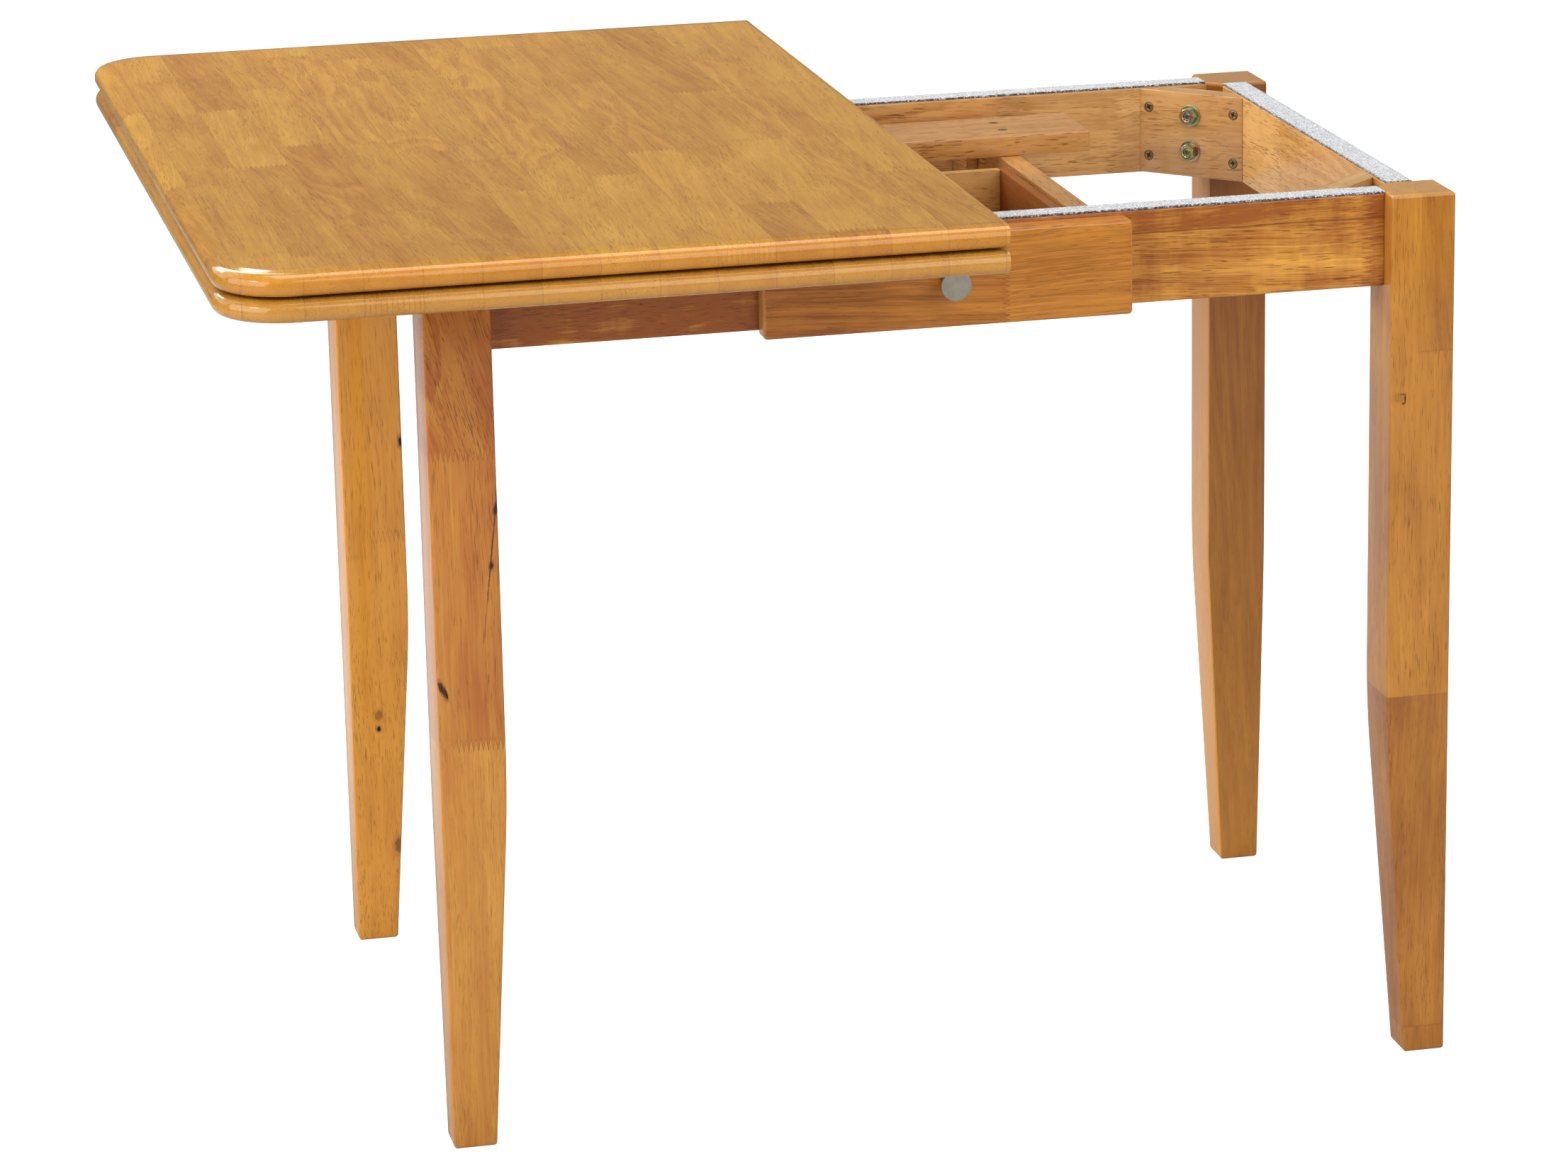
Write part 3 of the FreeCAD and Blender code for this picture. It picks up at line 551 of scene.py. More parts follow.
def make_grain_group() -> None:
    """Open-pored timber cut along the grain, which runs along x and leans by a slope.

    Figure is the growth rings: the distance from a pith line that wanders along the board,
    over the ring spacing, as a soft saw-tooth, strong in a few blocks and faint in the rest.
    Streak is a fine and a wide noise drawn out along the grain. Pores are short dark dashes: a
    noise drawn out twenty-fold and kept only over a threshold that a slower noise moves,
    coarser or finer by the block's chance. Patch is a slow cloud.
    """
    g, put, end = new_group(
        "timber_grain", {"Vector": None, "Chance": None, "Spacing": 0.006, "Pores": 1.0,
                         "Slope": 0.0},
        {"Figure": "Float", "Streak": "Float", "Pore": "Float", "Height": "Float",
         "Patch": "Float"})
    first, second, third = g.parts(put["Chance"])
    moved = g.vector("ADD", put["Vector"], g.vector("MULTIPLY", put["Chance"], (3.0, 2.0, 2.0)))
    x, y, z = g.parts(moved)
    y = g.plus(y, g.times(x, put["Slope"]))
    bend = g.times(g.minus(g.noise(moved, 1.0, 2.0, 0.5, BEND_SIZE), 0.5), 0.010)
    bent = g.join(x, g.plus(y, bend), g.plus(z, bend))
    sway = g.noise(g.join(x, first, second), 1.0, 2.0, 0.5, SWAY_SIZE)
    swell = g.noise(g.join(x, second, first), 1.0, 2.0, 0.5, SWELL_SIZE)
    side = g.plus(g.math("PINGPONG", g.plus(y, g.times(first, 0.05)), 0.035),
                  g.times(g.minus(sway, 0.5), 0.05))
    deep = g.plus(g.times(second, 0.03), g.times(swell, 0.06))
    ring = g.over(g.vector("LENGTH", g.join(side, deep, bend), out=1), put["Spacing"])
    ring = g.plus(ring, g.times(g.noise(bent, 1.0, 3.0, 0.6, WOBBLE_SIZE), 0.7))
    ring = g.math("FRACT", ring)
    figure = g.times(g.range(ring, 0.0, 0.8, kind="SMOOTHSTEP"),
                     g.range(ring, 0.85, 1.0, 1.0, 0.0, kind="SMOOTHSTEP"))
    figure = g.mix(g.range(third, 0.72, 0.9, 0.15, 1.0), FAINT_FIGURE, figure)
    streak = g.noise(bent, 1.0, 4.0, 0.65, FINE_STREAK_SIZE)
    wide = g.noise(bent, 1.0, 3.0, 0.55, WIDE_STREAK_SIZE)
    grade = g.range(second, 0.0, 1.0, 0.75, 1.5)
    graded = g.vector("MULTIPLY", bent, g.join(grade, grade, grade))
    dash = g.noise(graded, 1.0, 1.0, 0.4, DASH_SIZE)
    crowd = g.noise(bent, 1.0, 2.0, 0.5, CROWD_SIZE)
    pore = g.range(g.minus(dash, g.range(crowd, 0.3, 0.7, 0.70, 0.56)), 0.0, 0.06)
    pore = g.math("MINIMUM", g.times(pore, put["Pores"]), 1.0)
    g.fill(end, {"Figure": figure, "Pore": pore,
                 "Streak": g.plus(g.times(streak, 0.6), g.times(wide, 0.4)),
                 "Height": g.minus(g.times(streak, 0.3), pore),
                 "Patch": g.noise(bent, 1.0, 3.0, 0.6, PATCH_SIZE)})


def make_metal_group() -> None:
    """Bright metal: cloudy roughness, fine scratches and small dull specks."""
    g, put, end = new_group("metal_wear", {"Vector": None, "Grain": 1.0},
                            {"Rough": "Float", "Height": "Float", "Cloud": "Float"})
    cloud = g.noise(put["Vector"], 160.0, 3.0, 0.6)
    fine = g.noise(put["Vector"], 1.0, 2.0, 0.6, SCRATCH_SIZE)
    speck = g.range(g.noise(put["Vector"], 1400.0, 1.0), 0.62, 0.72)
    rough = g.plus(g.times(cloud, 0.18), g.times(g.times(fine, 0.12), put["Grain"]))
    g.fill(end, {"Rough": g.plus(rough, g.times(speck, 0.12)),
                 "Height": g.times(fine, put["Grain"]), "Cloud": cloud})


# ---------------------------------------------------------------- finishes

WARM_STAIN = (204, 118, 44)
GLUE_LINE = (116, 62, 22)
OPEN_PORE = (96, 50, 18)
KNOT_RING = (128, 66, 22)
KNOT_CORE = (30, 16, 8)
DARK_FLECK = (44, 46, 50)
LACQUER_IOR = 1.5
CHANCE_STEP = (0.37, 0.61, 0.83)
HALF_WAY = 0.7071


class Run(Enum):
    """Directions of the pattern on a board: along its grain, across its face, and deep."""

    X_FLAT = (EAST, NORTH, UP)
    X_UPRIGHT = (EAST, UP, NORTH)
    Y_FLAT = (NORTH, EAST, UP)
    Y_UPRIGHT = (NORTH, UP, EAST)
    Z_UPRIGHT = (UP, EAST, NORTH)
    SLANT = ((HALF_WAY, -HALF_WAY, 0.0), UP, (HALF_WAY, HALF_WAY, 0.0))
    COUNTER_SLANT = ((HALF_WAY, HALF_WAY, 0.0), UP, (HALF_WAY, -HALF_WAY, 0.0))


@dataclass(frozen=True)
class Cut:
    """A joint at a stated place, across the grain or lengthwise, and what changes past it; a few
    only mark where painted shade or painted light begins.

    Place, finger, low and high are in metres; low and high bound it the other way, line
    scales its dark line, and lean slants it.
    """

    place: float
    tone: float
    finger: float = 0.010
    low: float = -9.0
    high: float = 9.0
    pores: float = 0.0
    slope: float = 0.0
    line: float = 1.0
    lean: float = 0.0
    lengthwise: bool = False


def start_material(name: str) -> tuple[bpy.types.Material, Graph, bpy.types.Node]:
    """A new material with its own Principled shader.

    Args:
        name: Material name.

    Returns:
        The material, its graph and the shader.
    """
    material = bpy.data.materials.new(name)
    material.use_nodes = True
    graph = Graph(material.node_tree)
    return material, graph, material.node_tree.nodes["Principled BSDF"]


def tint(red: float, green: float, blue: float) -> tuple[float, float, float, float]:
    """Screen colour as the linear colour that shaders take, by the sRGB curve.

    Args:
        red: Red, 0 to 255.
        green: Green, 0 to 255.
        blue: Blue, 0 to 255.

    Returns:
        Red, green, blue and 1.
    """
    screen = np.array([red, green, blue]) / 255
    linear = np.where(screen <= 0.04045, screen / 12.92, ((screen + 0.055) / 1.055) ** 2.4)
    return (*linear.tolist(), 1.0)


@dataclass(frozen=True)
class Timber:
    """Stained and lacquered timber, glued up of strips and finger-jointed blocks.

    Width, length and start are in metres. Tone runs from light at 0 to dark at 1, base_tone is
    its middle, spread its range from block to block and fade its change for each metre along;
    a fade paints shade, darker further along the grain.
    """

    name: str
    light: tuple = (214, 156, 80)
    dark: tuple = (176, 110, 44)
    end: tuple = (214, 164, 98)
    run: Run = Run.X_FLAT
    width: float = 0.9
    length: float = 9.0
    start: Point = (0.0, 0.0, 0.0)
    seed: float = 0.0
    base_tone: float = 0.5
    spread: float = 0.0
    fade: float = 0.0
    pores: float = 1.0
    spacing: float = 0.006
    slope: float = 0.0
    lean: float = 0.12
    figure: float = 0.16
    streak: float = 0.26
    patch: float = 0.20
    ripple_sheen: float = 0.0
    warm: float = 0.22
    rough: float = 0.42
    coat: float = 1.0
    coat_rough: float = 0.14
    finger: float = 0.011
    joint: float = 0.34
    seam_share: float = 0.5
    end_share: float = 0.55
    pore_share: float = 0.6
    rough_swing: float = 0.06
    raise_share: float = 0.28
    raise_height: float = 0.0004
    cuts: tuple = ()
    knots: tuple = ()

    def joined(self, g: Graph, along: object, across: object, blocks: dict) -> tuple:
        """Lays the stated joints over the blocks.

        Args:
            g: Graph of the material.
            along: Place along the grain.
            across: Place across it.
            blocks: Outputs of the block group.

        Returns:
            Tone, chance, line mask, slope and pore strength past every joint.
        """
        tone = g.range(blocks["Tone"], 0.0, 1.0, self.base_tone - self.spread / 2,
                       self.base_tone + self.spread / 2)
        # Painted shade: tone darkens by fade for each metre along the grain.
        tone = g.math("MULTIPLY_ADD", along, self.fade, tone)
        chance = blocks["Chance"]
        lines = g.math("MAXIMUM", blocks["Joint"], g.times(blocks["Seam"], self.seam_share))
        slope, pores = self.slope, self.pores
        for cut in self.cuts:
            first, second = (across, along) if cut.lengthwise else (along, across)
            if cut.lean:
                first = g.math("MULTIPLY_ADD", second, cut.lean, first)
            joint = g.group("finger_joint", Along=first, Across=second, Place=cut.place,
                            Finger=cut.finger, Low=cut.low, High=cut.high)
            past = joint["Mask"]
            tone = g.plus(tone, g.times(past, cut.tone))
            step = g.vector("MULTIPLY", g.join(past, past, past), CHANCE_STEP)
            chance = g.vector("FRACTION", g.vector("ADD", chance, step))
            lines = g.math("MAXIMUM", lines, g.times(joint["Line"], cut.line))
            slope = g.math("MULTIPLY_ADD", past, cut.slope, slope)
            pores = g.math("MULTIPLY_ADD", past, cut.pores, pores)
        slope = g.math("MULTIPLY_ADD", g.minus(g.parts(chance)[0], 0.5), self.lean, slope)
        return tone, chance, lines, slope, pores

    def shaded(self, g: Graph, tone: object, grain: dict, vector: object) -> bpy.types.NodeSocket:
        """Adds cloud, rings, streaks and ripple to a tone, each centred on no change; the ripple's
        lighter patches are painted sheen.

        Args:
            g: Graph of the material.
            tone: Tone so far.
            grain: Outputs of the grain group.
            vector: Place along, across and deep.

        Returns:
            The colour between light and dark at that tone.
        """
        for mask, low, high, down, up in (
                (grain["Patch"], 0.3, 0.7, -self.patch, self.patch),
                (grain["Figure"], 0.0, 1.0, -self.figure * 0.6, self.figure),
                (grain["Streak"], 0.35, 0.65, -self.streak, self.streak)):
            tone = g.plus(tone, g.range(mask, low, high, down, up))
        # Ripple figure lightened in patches: painted sheen, the chatoyance of the figure.
        if self.ripple_sheen:
            wave = g.noise(vector, 1.0, 3.0, 0.6, RIPPLE_SHEEN_SIZE)
            tone = g.minus(tone, g.range(wave, 0.42, 0.72, 0.0, self.ripple_sheen))
        return g.mix(g.plus(tone, 0.0, clamp=True), tint(*self.light), tint(*self.dark))

    def make(self) -> bpy.types.Material:
        """Makes the look: block tone, rings, streaks, pores, joints, end grain, knots.

        Returns:
            The material.
        """
        material, g, shader = start_material(self.name)
        texture = g.add("TexCoord").outputs
        place = texture["Object"]
        axes = [g.vector("DOT_PRODUCT", place, axis, out=1) for axis in self.run.value]
        along, across, deep = (g.minus(axis, start) for axis, start in zip(axes, self.start))
        vector = g.join(along, across, deep)
        blocks = g.group("timber_blocks", Vector=vector, Width=self.width, Length=self.length,
                         Finger=self.finger, Seed=self.seed)
        tone, chance, lines, slope, pores = self.joined(g, along, across, blocks)
        grain = g.group("timber_grain", Vector=vector, Chance=chance, Spacing=self.spacing,
                        Pores=pores, Slope=slope)
        colour = self.shaded(g, tone, grain, vector)
        facing = g.vector("DOT_PRODUCT", texture["Normal"], self.run.value[0], out=1)
        end = g.range(g.math("ABSOLUTE", facing), 0.25, 0.85, kind="SMOOTHSTEP")
        warm = g.range(g.parts(chance)[2], 0.5, 1.0, 0.0, self.warm)
        for share, shade in ((warm, WARM_STAIN), (g.times(end, self.end_share), self.end),
                             (g.times(lines, self.joint), GLUE_LINE),
                             (g.times(grain["Pore"], self.pore_share), OPEN_PORE)):
            colour = g.mix(share, colour, tint(*shade))
        for spot in self.knots:
            colour = self.knot(g, place, colour, *spot)
        g.fill(shader, {
            "Base Color": colour,
            "Roughness": g.range(grain["Streak"], 0.3, 0.7, self.rough - self.rough_swing,
                                 self.rough + self.rough_swing),
            "Normal": g.bump(grain["Height"], self.raise_share, self.raise_height),
            "Coat Weight": self.coat, "Coat Roughness": self.coat_rough,
            "Coat IOR": LACQUER_IOR, "Specular IOR Level": 0.0})
        return material

    @staticmethod
    def knot(g: Graph, place: object, colour: object, centre: Point, radius: float,
             core: float, squeeze: float = 0.5, lean: float = 0.0) -> bpy.types.NodeSocket:
        """Colour with a knot or a crack laid over it.

        Distance from the centre over the radius, with the height squeezed and the side moved by
        lean times the height, wavered by noise: black inside, with a brown ring round it.

        Args:
            g: Graph of the material.
            place: Object coordinates.
            colour: Colour so far.
            centre: Knot centre, in metres.
            radius: Radius across, in metres.
            core: Darkness.
            squeeze: Radius across over radius up; a small one makes a crack.
            lean: Slope of the knot's upright axis.

        Returns:
            The new colour.
        """
        x, y, z = g.parts(g.vector("SUBTRACT", place, centre))
        x = g.minus(x, g.times(z, lean))
        away = g.vector("LENGTH", g.join(x, y, g.times(z, squeeze)), out=1)
        waver = g.range(g.noise(place, 420.0, 2.0, 0.6), 0.0, 1.0, -0.55, 0.55)
        reach = g.plus(g.over(away, radius), waver)
        halo = g.range(reach, 0.9, 2.1, 0.6 * core, 0.0, kind="SMOOTHSTEP")
        colour = g.mix(halo, colour, tint(*KNOT_RING))
        return g.mix(g.range(reach, 0.75, 1.1, core, 0.0), colour, tint(*KNOT_CORE))


@dataclass(frozen=True)
class Metal:
    """Plated metal, with painted shade in a recess where the mesh marks one."""

    name: str
    colour: tuple = (190, 190, 188)
    second: tuple = (150, 150, 150)
    rough: float = 0.22
    rainbow: float = 0.0
    recess_shade: tuple = (34, 28, 20)
    film_tone: float = 0.75
    raise_share: float = 0.05
    raise_height: float = 0.0002

    def make(self) -> bpy.types.Material:
        """Makes the look: two clouded tones, rainbow bands of a zinc film, painted shade in
        recesses.

        Returns:
            The material.
        """
        material, g, shader = start_material(self.name)
        place = g.add("TexCoord").outputs["Object"]
        wear = g.group("metal_wear", Vector=place, Grain=1.0)
        mask = g.range(wear["Cloud"], 0.35, 0.65)
        colour = g.mix(mask, tint(*self.colour), tint(*self.second))
        if self.rainbow:
            hue = g.math("FRACT", g.times(g.noise(place, 95.0, 1.0), 5.0))
            film = g.add("CombineColor", {0: hue, 1: self.film_tone, 2: self.film_tone},
                         mode="HSV").outputs[0]
            colour = g.mix(self.rainbow, colour, film)
        # Painted shade: where the mesh marks a recess, the colour goes to the recess's dark shade
        # and the metal's shine is taken off.
        recess = g.recess()
        g.fill(shader, {"Base Color": g.mix(recess, colour, tint(*self.recess_shade)),
                        "Metallic": g.range(recess, 0.0, 1.0, 1.0, 0.1),
                        "Roughness": g.plus(wear["Rough"], self.rough - 0.12, clamp=True),
                        "Normal": g.bump(wear["Height"], self.raise_share,
                                         self.raise_height)})
        return material


@dataclass(frozen=True)
class Felt:
    """Pressed fibre strip, speckled, with loose dark flecks at its edges."""

    name: str
    low: tuple = (148, 151, 156)
    high: tuple = (255, 255, 255)
    rough: float = 0.95
    sheen: float = 0.25

    def make(self) -> bpy.types.Material:
        """Makes the look: grey fibres crossed both ways, dark flecks, thick at the edges.

        Returns:
            The material.
        """
        material, g, shader = start_material(self.name)
        place = g.add("TexCoord").outputs["Object"]
        fibre = g.math("MAXIMUM", *(g.noise(place, 1.0, 3.0, 0.7, size)
                                    for size in (FIBRE_SIZE, CROSSED_FIBRE_SIZE)))
        edge = g.recess()
        speck = g.plus(g.noise(place, 620.0, 2.0, 0.7), g.times(edge, 0.13))
        fleck = g.times(g.range(speck, 0.54, 0.62), g.range(edge, 0.0, 1.0, 0.55, 0.95))
        colour = g.mix(g.range(fibre, 0.46, 0.66), tint(*self.low), tint(*self.high))
        g.fill(shader, {"Base Color": g.mix(fleck, colour, tint(*DARK_FLECK)),
                        "Normal": g.bump(fibre, 0.6, 0.0006),
                        "Roughness": self.rough, "Sheen Weight": self.sheen})
        return material


@dataclass(frozen=True)
class Plastic:
    """Moulded plastic with a fine sparkle."""

    name: str
    colour: tuple = (225, 222, 212)
    rough: float = 0.45

    def make(self) -> bpy.types.Material:
        """Makes the look: one tone, slightly clouded, with a fine moulded grain.

        Returns:
            The material.
        """
        material, g, shader = start_material(self.name)
        place = g.add("TexCoord").outputs["Object"]
        cloud = g.noise(place, 120.0, 3.0, 0.6)
        red, green, blue = self.colour
        shade = tint(red * 0.9, green * 0.9, blue * 0.88)
        g.fill(shader, {"Base Color": g.mix(cloud, tint(*self.colour), shade),
                        "Roughness": g.range(cloud, 0.3, 0.7, self.rough - 0.06,
                                             self.rough + 0.06),
                        "Normal": g.bump(g.noise(place, 1600.0, 1.0), 0.1, 0.0002)})
        return material


# ---------------------------------------------------------------- sub-assemblies

@dataclass
class Assembly:
    """What every sub-assembly of the table shares."""

    body: str = "frame"
    made: list[str] = field(default_factory=list)

    def settle(self, shell: Shell, name: str, slot: str, material: bpy.types.Material,
               *nodes: str, crease: float = BOARD_CREASE) -> bpy.types.Object:
        """Writes a piece, dresses it, ties it to its body and hides the solids it stands for.

        Args:
            shell: Gathered surface.
            name: Piece name.
            slot: Finish slot; not used.
            material: Material.
            nodes: Solids that the piece takes the place of.
            crease: Angle past which an edge is sharp.

        Returns:
            The piece.
        """
        piece = shell.write(name, crease)
        piece.data.materials.append(material)
        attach(piece, self.body)
        if nodes:
            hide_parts(*nodes)
        self.made.append(name)
        return piece

    def report(self) -> None:
        """Logs each piece that the sub-assembly made."""
        for name in self.made:
            count = len(bpy.data.objects[name].data.polygons)
            LOG.info("%s: %s, %d faces", type(self).__name__, name, count)


class Fasteners:
    """Shapes of the small fasteners, each standing on z = 0 of its placing."""

    HEAD_RINGS = np.array([1.16, 1.1, 1.0, 0.93, 0.76, 0.68, 0.6, 0.5, 0.4, 0.3, 0.2, 0.1, 0.0])
    SKIRT_HEIGHTS = np.array([[-0.2], [0.04], [0.06]])
    # Marks of the skirt rings: painted shadow of the countersink round a screw head.
    SKIRT_SHADOW_MARKS = np.array([[1.0], [1.0], [1.0], [0.25]])
    BLADE = 0.17
    FLARE = 0.4
    ARM = 0.66
    CROWN = 0.5
    CHAMFER_START = 0.475
    CHAMFER_SLOPE = 1.75
    CHAMFER = 1.2
    RINGS_PER_PITCH = 8
    # Marks of the dish rings at a bolt's tip: painted shade, darker towards the middle.
    TIP_SHADE_MARKS = (0.1, 0.2, 0.55, 0.75, 0.8)

    @classmethod
    def screw_head(cls, shell: Shell, x: float, y: float, radius: float = 4.0,
                   turn: float = 20.0) -> None:
        """A countersunk head with a cross recess, standing a hair proud.

        The face is a polar grid whose height is a shallow crown, let down almost to the wood
        in the recess. The recess is where the smaller of |x| and |y|, turned, is under the
        blade's width, which grows towards the middle, and the larger is under the arm's
        length. A skirt outside the head covers its seat. Skirt and recess carry the dark mark:
        a painted shadow of the countersink round the head, and painted shade deep in the cross.

        Args:
            shell: Shell on whose z = 0 plane the head sits.
            x: Centre along.
            y: Centre across.
            radius: Head radius.
            turn: Turn of the cross, in degrees.
        """
        angle = angles(32)
        r = (cls.HEAD_RINGS * radius)[:, None]
        u = np.abs(r * np.cos(angle - math.radians(turn)))
        v = np.abs(r * np.sin(angle - math.radians(turn)))
        near, far = np.minimum(u, v), np.maximum(u, v)
        blade = cls.BLADE * radius * (1 + 0.8 * np.clip(1 - far / (cls.FLARE * radius), 0, 1))
        inside = (np.clip((blade - near) / 0.25 + 0.5, 0, 1)
                  * np.clip((cls.ARM * radius - far) / 0.3 + 0.5, 0, 1))
        crown = cls.CROWN * (1 - 0.55 * (r / radius) ** 2)
        height = crown - inside * (crown - 0.05)
        height[:len(cls.SKIRT_HEIGHTS)] = cls.SKIRT_HEIGHTS
        # Painted shadow on the skirt rings, and painted shade in the cross where inside is 1.
        edge = np.zeros_like(height)
        edge[:len(cls.SKIRT_SHADOW_MARKS)] = cls.SKIRT_SHADOW_MARKS
        shell.grid(turned(r, height, angle, x, y), np.maximum(inside, edge))

    @staticmethod
    def washer(shell: Shell, y: float, thickness: float, radius: float = 9.5,
               hole: float = 4.4) -> None:
        """A plain washer: a rounded rectangle of radius against height turned about its axis.

        Args:
            shell: Shell to add to.
            y: Centre across.
            thickness: Thickness.
            radius: Outer radius.
            hole: Hole radius.
        """
        ring = rounded(rectangle(hole, radius, 0.0, thickness), 0.35, 3)
        loop = np.concatenate([ring, ring[:1]])
        shell.grid(turned(loop[:, :1], loop[:, 1:], angles(48), 0.0, y))

    @classmethod
    def nut(cls, shell: Shell, y: float, base: float, height: float, turn: float,
            flats: float = 13.0, hole: float = 3.6) -> None:
        """A hexagon nut with both faces chamfered.

        Radius at angle a is the smaller of the hexagon, half flats / cos(a to the nearest
        flat's middle), and a chamfer cone that starts inside each face and widens with depth;
        the inner wall is the thread bore with an eased mouth.

        Args:
            shell: Shell to add to.
            y: Centre across.
            base: Height of the nut's lower face.
            height: Nut height.
            turn: Turn of the hexagon, in degrees.
            flats: Width across flats.
            hole: Bore radius.
        """
        angle = angles(72)
        to_flat = (angle - math.radians(turn) + np.pi / 6) % (np.pi / 3) - np.pi / 6
        hexagon = flats / 2 / np.cos(to_flat)
        depth = np.concatenate([[0], np.linspace(0.0, cls.CHAMFER, 7),
                                np.linspace(cls.CHAMFER, height - cls.CHAMFER, 3),
                                np.linspace(height - cls.CHAMFER, height, 7)])
        cone = cls.CHAMFER_START * flats + cls.CHAMFER_SLOPE * np.minimum(depth, height - depth)
        radius = np.minimum(hexagon[None, :], cone[:, None])
        mouth = hole + 0.5
        radius[0] = mouth
        rim = np.array([[mouth + 0.4, height], [mouth, height - 0.1], [hole, height - 0.6],
                        [hole, 0.6], [mouth, 0.0]])
        walls = np.concatenate([radius, np.broadcast_to(rim[:, :1], (len(rim), len(angle)))])
        heights = np.concatenate([depth, rim[:, 1]])[:, None]
        shell.grid(turned(walls, heights + base, angle, 0.0, y))

    @classmethod
    def bolt(cls, shell: Shell, y: float, low: float, high: float, radius: float = 3.95,
             pitch: float = 1.25, depth: float = 0.62, lead: float = 10.0) -> None:
        """A threaded rod whose end is dished, the dish darkened by painted shade.

        Radius at angle a and height h is the rod radius less depth times a triangle wave of
        h / pitch - a / turn, faded out at the tip.

        Args:
            shell: Shell to add to.
            y: Centre across.
            low: Height where the rod starts.
            high: Height of its tip.
            radius: Rod radius.
            pitch: Thread pitch.
            depth: Thread depth.
            lead: Threaded length shown below the tip.
        """
        angle = angles(36)
        start = max(low, high - lead)
        steps = int((high - start) / pitch * cls.RINGS_PER_PITCH)
        h = np.linspace(start, high - 0.5, steps)[:, None]
        saw = np.abs(((h - high) / pitch - angle / (2 * np.pi)) % 1.0 - 0.5) * 2
        fade = np.clip((high - h) / 1.5, 0, 1)
        thread = radius - depth * saw * fade - 0.35 * (1 - fade)
        foot = np.array([[0.0, low], [radius, low], [radius, start]])
        dish = np.array([[radius - 1.0, high - 0.1], [radius - 1.3, high],
                         [radius - 1.7, high - 0.1], [radius - 2.3, high - 0.5],
                         [0.0, high - 0.7]])
        radii = np.concatenate([part + np.zeros(len(angle))
                                for part in (foot[:, :1], thread, dish[:, :1])])
        heights = np.concatenate([foot[:, 1], h[:, 0], dish[:, 1]])[:, None]
        # Painted shade in the dished tip.
        dark = np.concatenate([np.zeros(len(foot) + len(h)), cls.TIP_SHADE_MARKS])[:, None]
        shell.grid(turned(radii, heights, angle, 0.0, y), dark)


FRAME_X = 86.25
PIVOT: Point = (-58.75, 145.0, 701.0)
PLATE_HALF = 38.0
PLATE_CORNER = 6.0
PLATE_THICKNESS = 3.0
PLATE_SCREW = 30.0
# Each knot: centre and radius in metres, darkness, squeeze and lean.
FRONT_LEFT_KNOTS: tuple = (
    ((-0.2706, -0.2675, 0.5162), 0.0018, 1.0, 0.42, 0.1),
    ((-0.2758, -0.2675, 0.4719), 0.0015, 1.0, 0.5, 0.1),
    ((-0.2742, -0.2675, 0.4900), 0.0005, 0.7, 0.011, 0.12),
    ((-0.3188, -0.2675, 0.3782), 0.0011, 1.0, 0.22, -0.25),
    ((-0.3166, -0.2675, 0.3758), 0.0012, 1.0, 0.20, -0.25),
    ((-0.3144, -0.2675, 0.3734), 0.0010, 1.0, 0.22, -0.25))
FRONT_RIGHT_KNOTS: tuple = (
    ((0.4480, -0.2675, 0.5490), 0.0042, 0.16, 1.2, 0.0),
    ((0.4518, -0.2675, 0.5518), 0.0019, 0.6, 3.6, 0.0),
    ((0.4541, -0.2675, 0.5484), 0.0006, 0.9, 0.20, 0.0),
    ((0.4528, -0.2675, 0.5442), 0.0012, 0.8, 1.6, 0.0))
BACK_LEFT_KNOTS: tuple = (
    ((-0.2702, 0.2155, 0.4490), 0.0022, 1.0, 0.5, 0.0),
    ((-0.2983, 0.2205, 0.2070), 0.0036, 0.4, 0.8, 0.0),
    ((-0.2983, 0.2213, 0.1950), 0.0017, 1.0, 0.7, 0.0),
    ((-0.2835, 0.2281, 0.0860), 0.0040, 0.5, 0.6, 0.0))
FRONT_LEFT_SEAM = -0.3085
LEG_LOOKS = {
    "front_left": dict(
        cuts=(Cut(0.330, 0.30, 0.003, high=FRONT_LEFT_SEAM, line=0.1),
              Cut(0.330, 0.34, low=FRONT_LEFT_SEAM, pores=0.3),
              # Upper block past 0.560 is darker: partly its own tone, partly painted shadow of the
              # leaf above.
              Cut(0.560, 0.16, pores=1.6, slope=0.30, line=0.1),
              Cut(0.560, 0.0, low=FRONT_LEFT_SEAM)),
        seed=3.0, base_tone=0.32, light=(226, 162, 70), dark=(186, 106, 44), pores=0.5,
        lean=0.04, warm=0.0, figure=0.24, joint=0.9, knots=FRONT_LEFT_KNOTS),
    "front_right": dict(
        cuts=(Cut(0.022, -0.02, 0.0, line=0.3), Cut(0.303, -0.26, 0.0, line=0.3),
              Cut(0.585, 0.08, 0.0, low=0.466, line=0.3)),
        seed=5.0, base_tone=0.78, dark=(162, 98, 38), pores=0.7, figure=0.2, warm=0.1,
        streak=0.16, knots=FRONT_RIGHT_KNOTS),
    # Back right: past these lengthwise cuts the front face is painted darker, leaving the tapered
    # left face lighter as painted light; fade darkens the leg upwards as painted shadow of the
    # front rail.
    "back_right": dict(
        cuts=(Cut(0.4427, 0.64, 0.0, line=0.0, low=0.287, lengthwise=True),
              Cut(0.4607, 0.64, 0.0, line=0.0, high=0.287, lean=0.0627, lengthwise=True)),
        seed=8.0, base_tone=-0.12, fade=0.78, dark=(148, 88, 32), pores=0.3, figure=0.05,
        warm=0.0, streak=0.1, patch=0.08),
    "back_left": dict(cuts=(Cut(0.367, 0.04, low=-0.300),), seed=2.0, base_tone=0.12, pores=0.7,
                      knots=BACK_LEFT_KNOTS)}
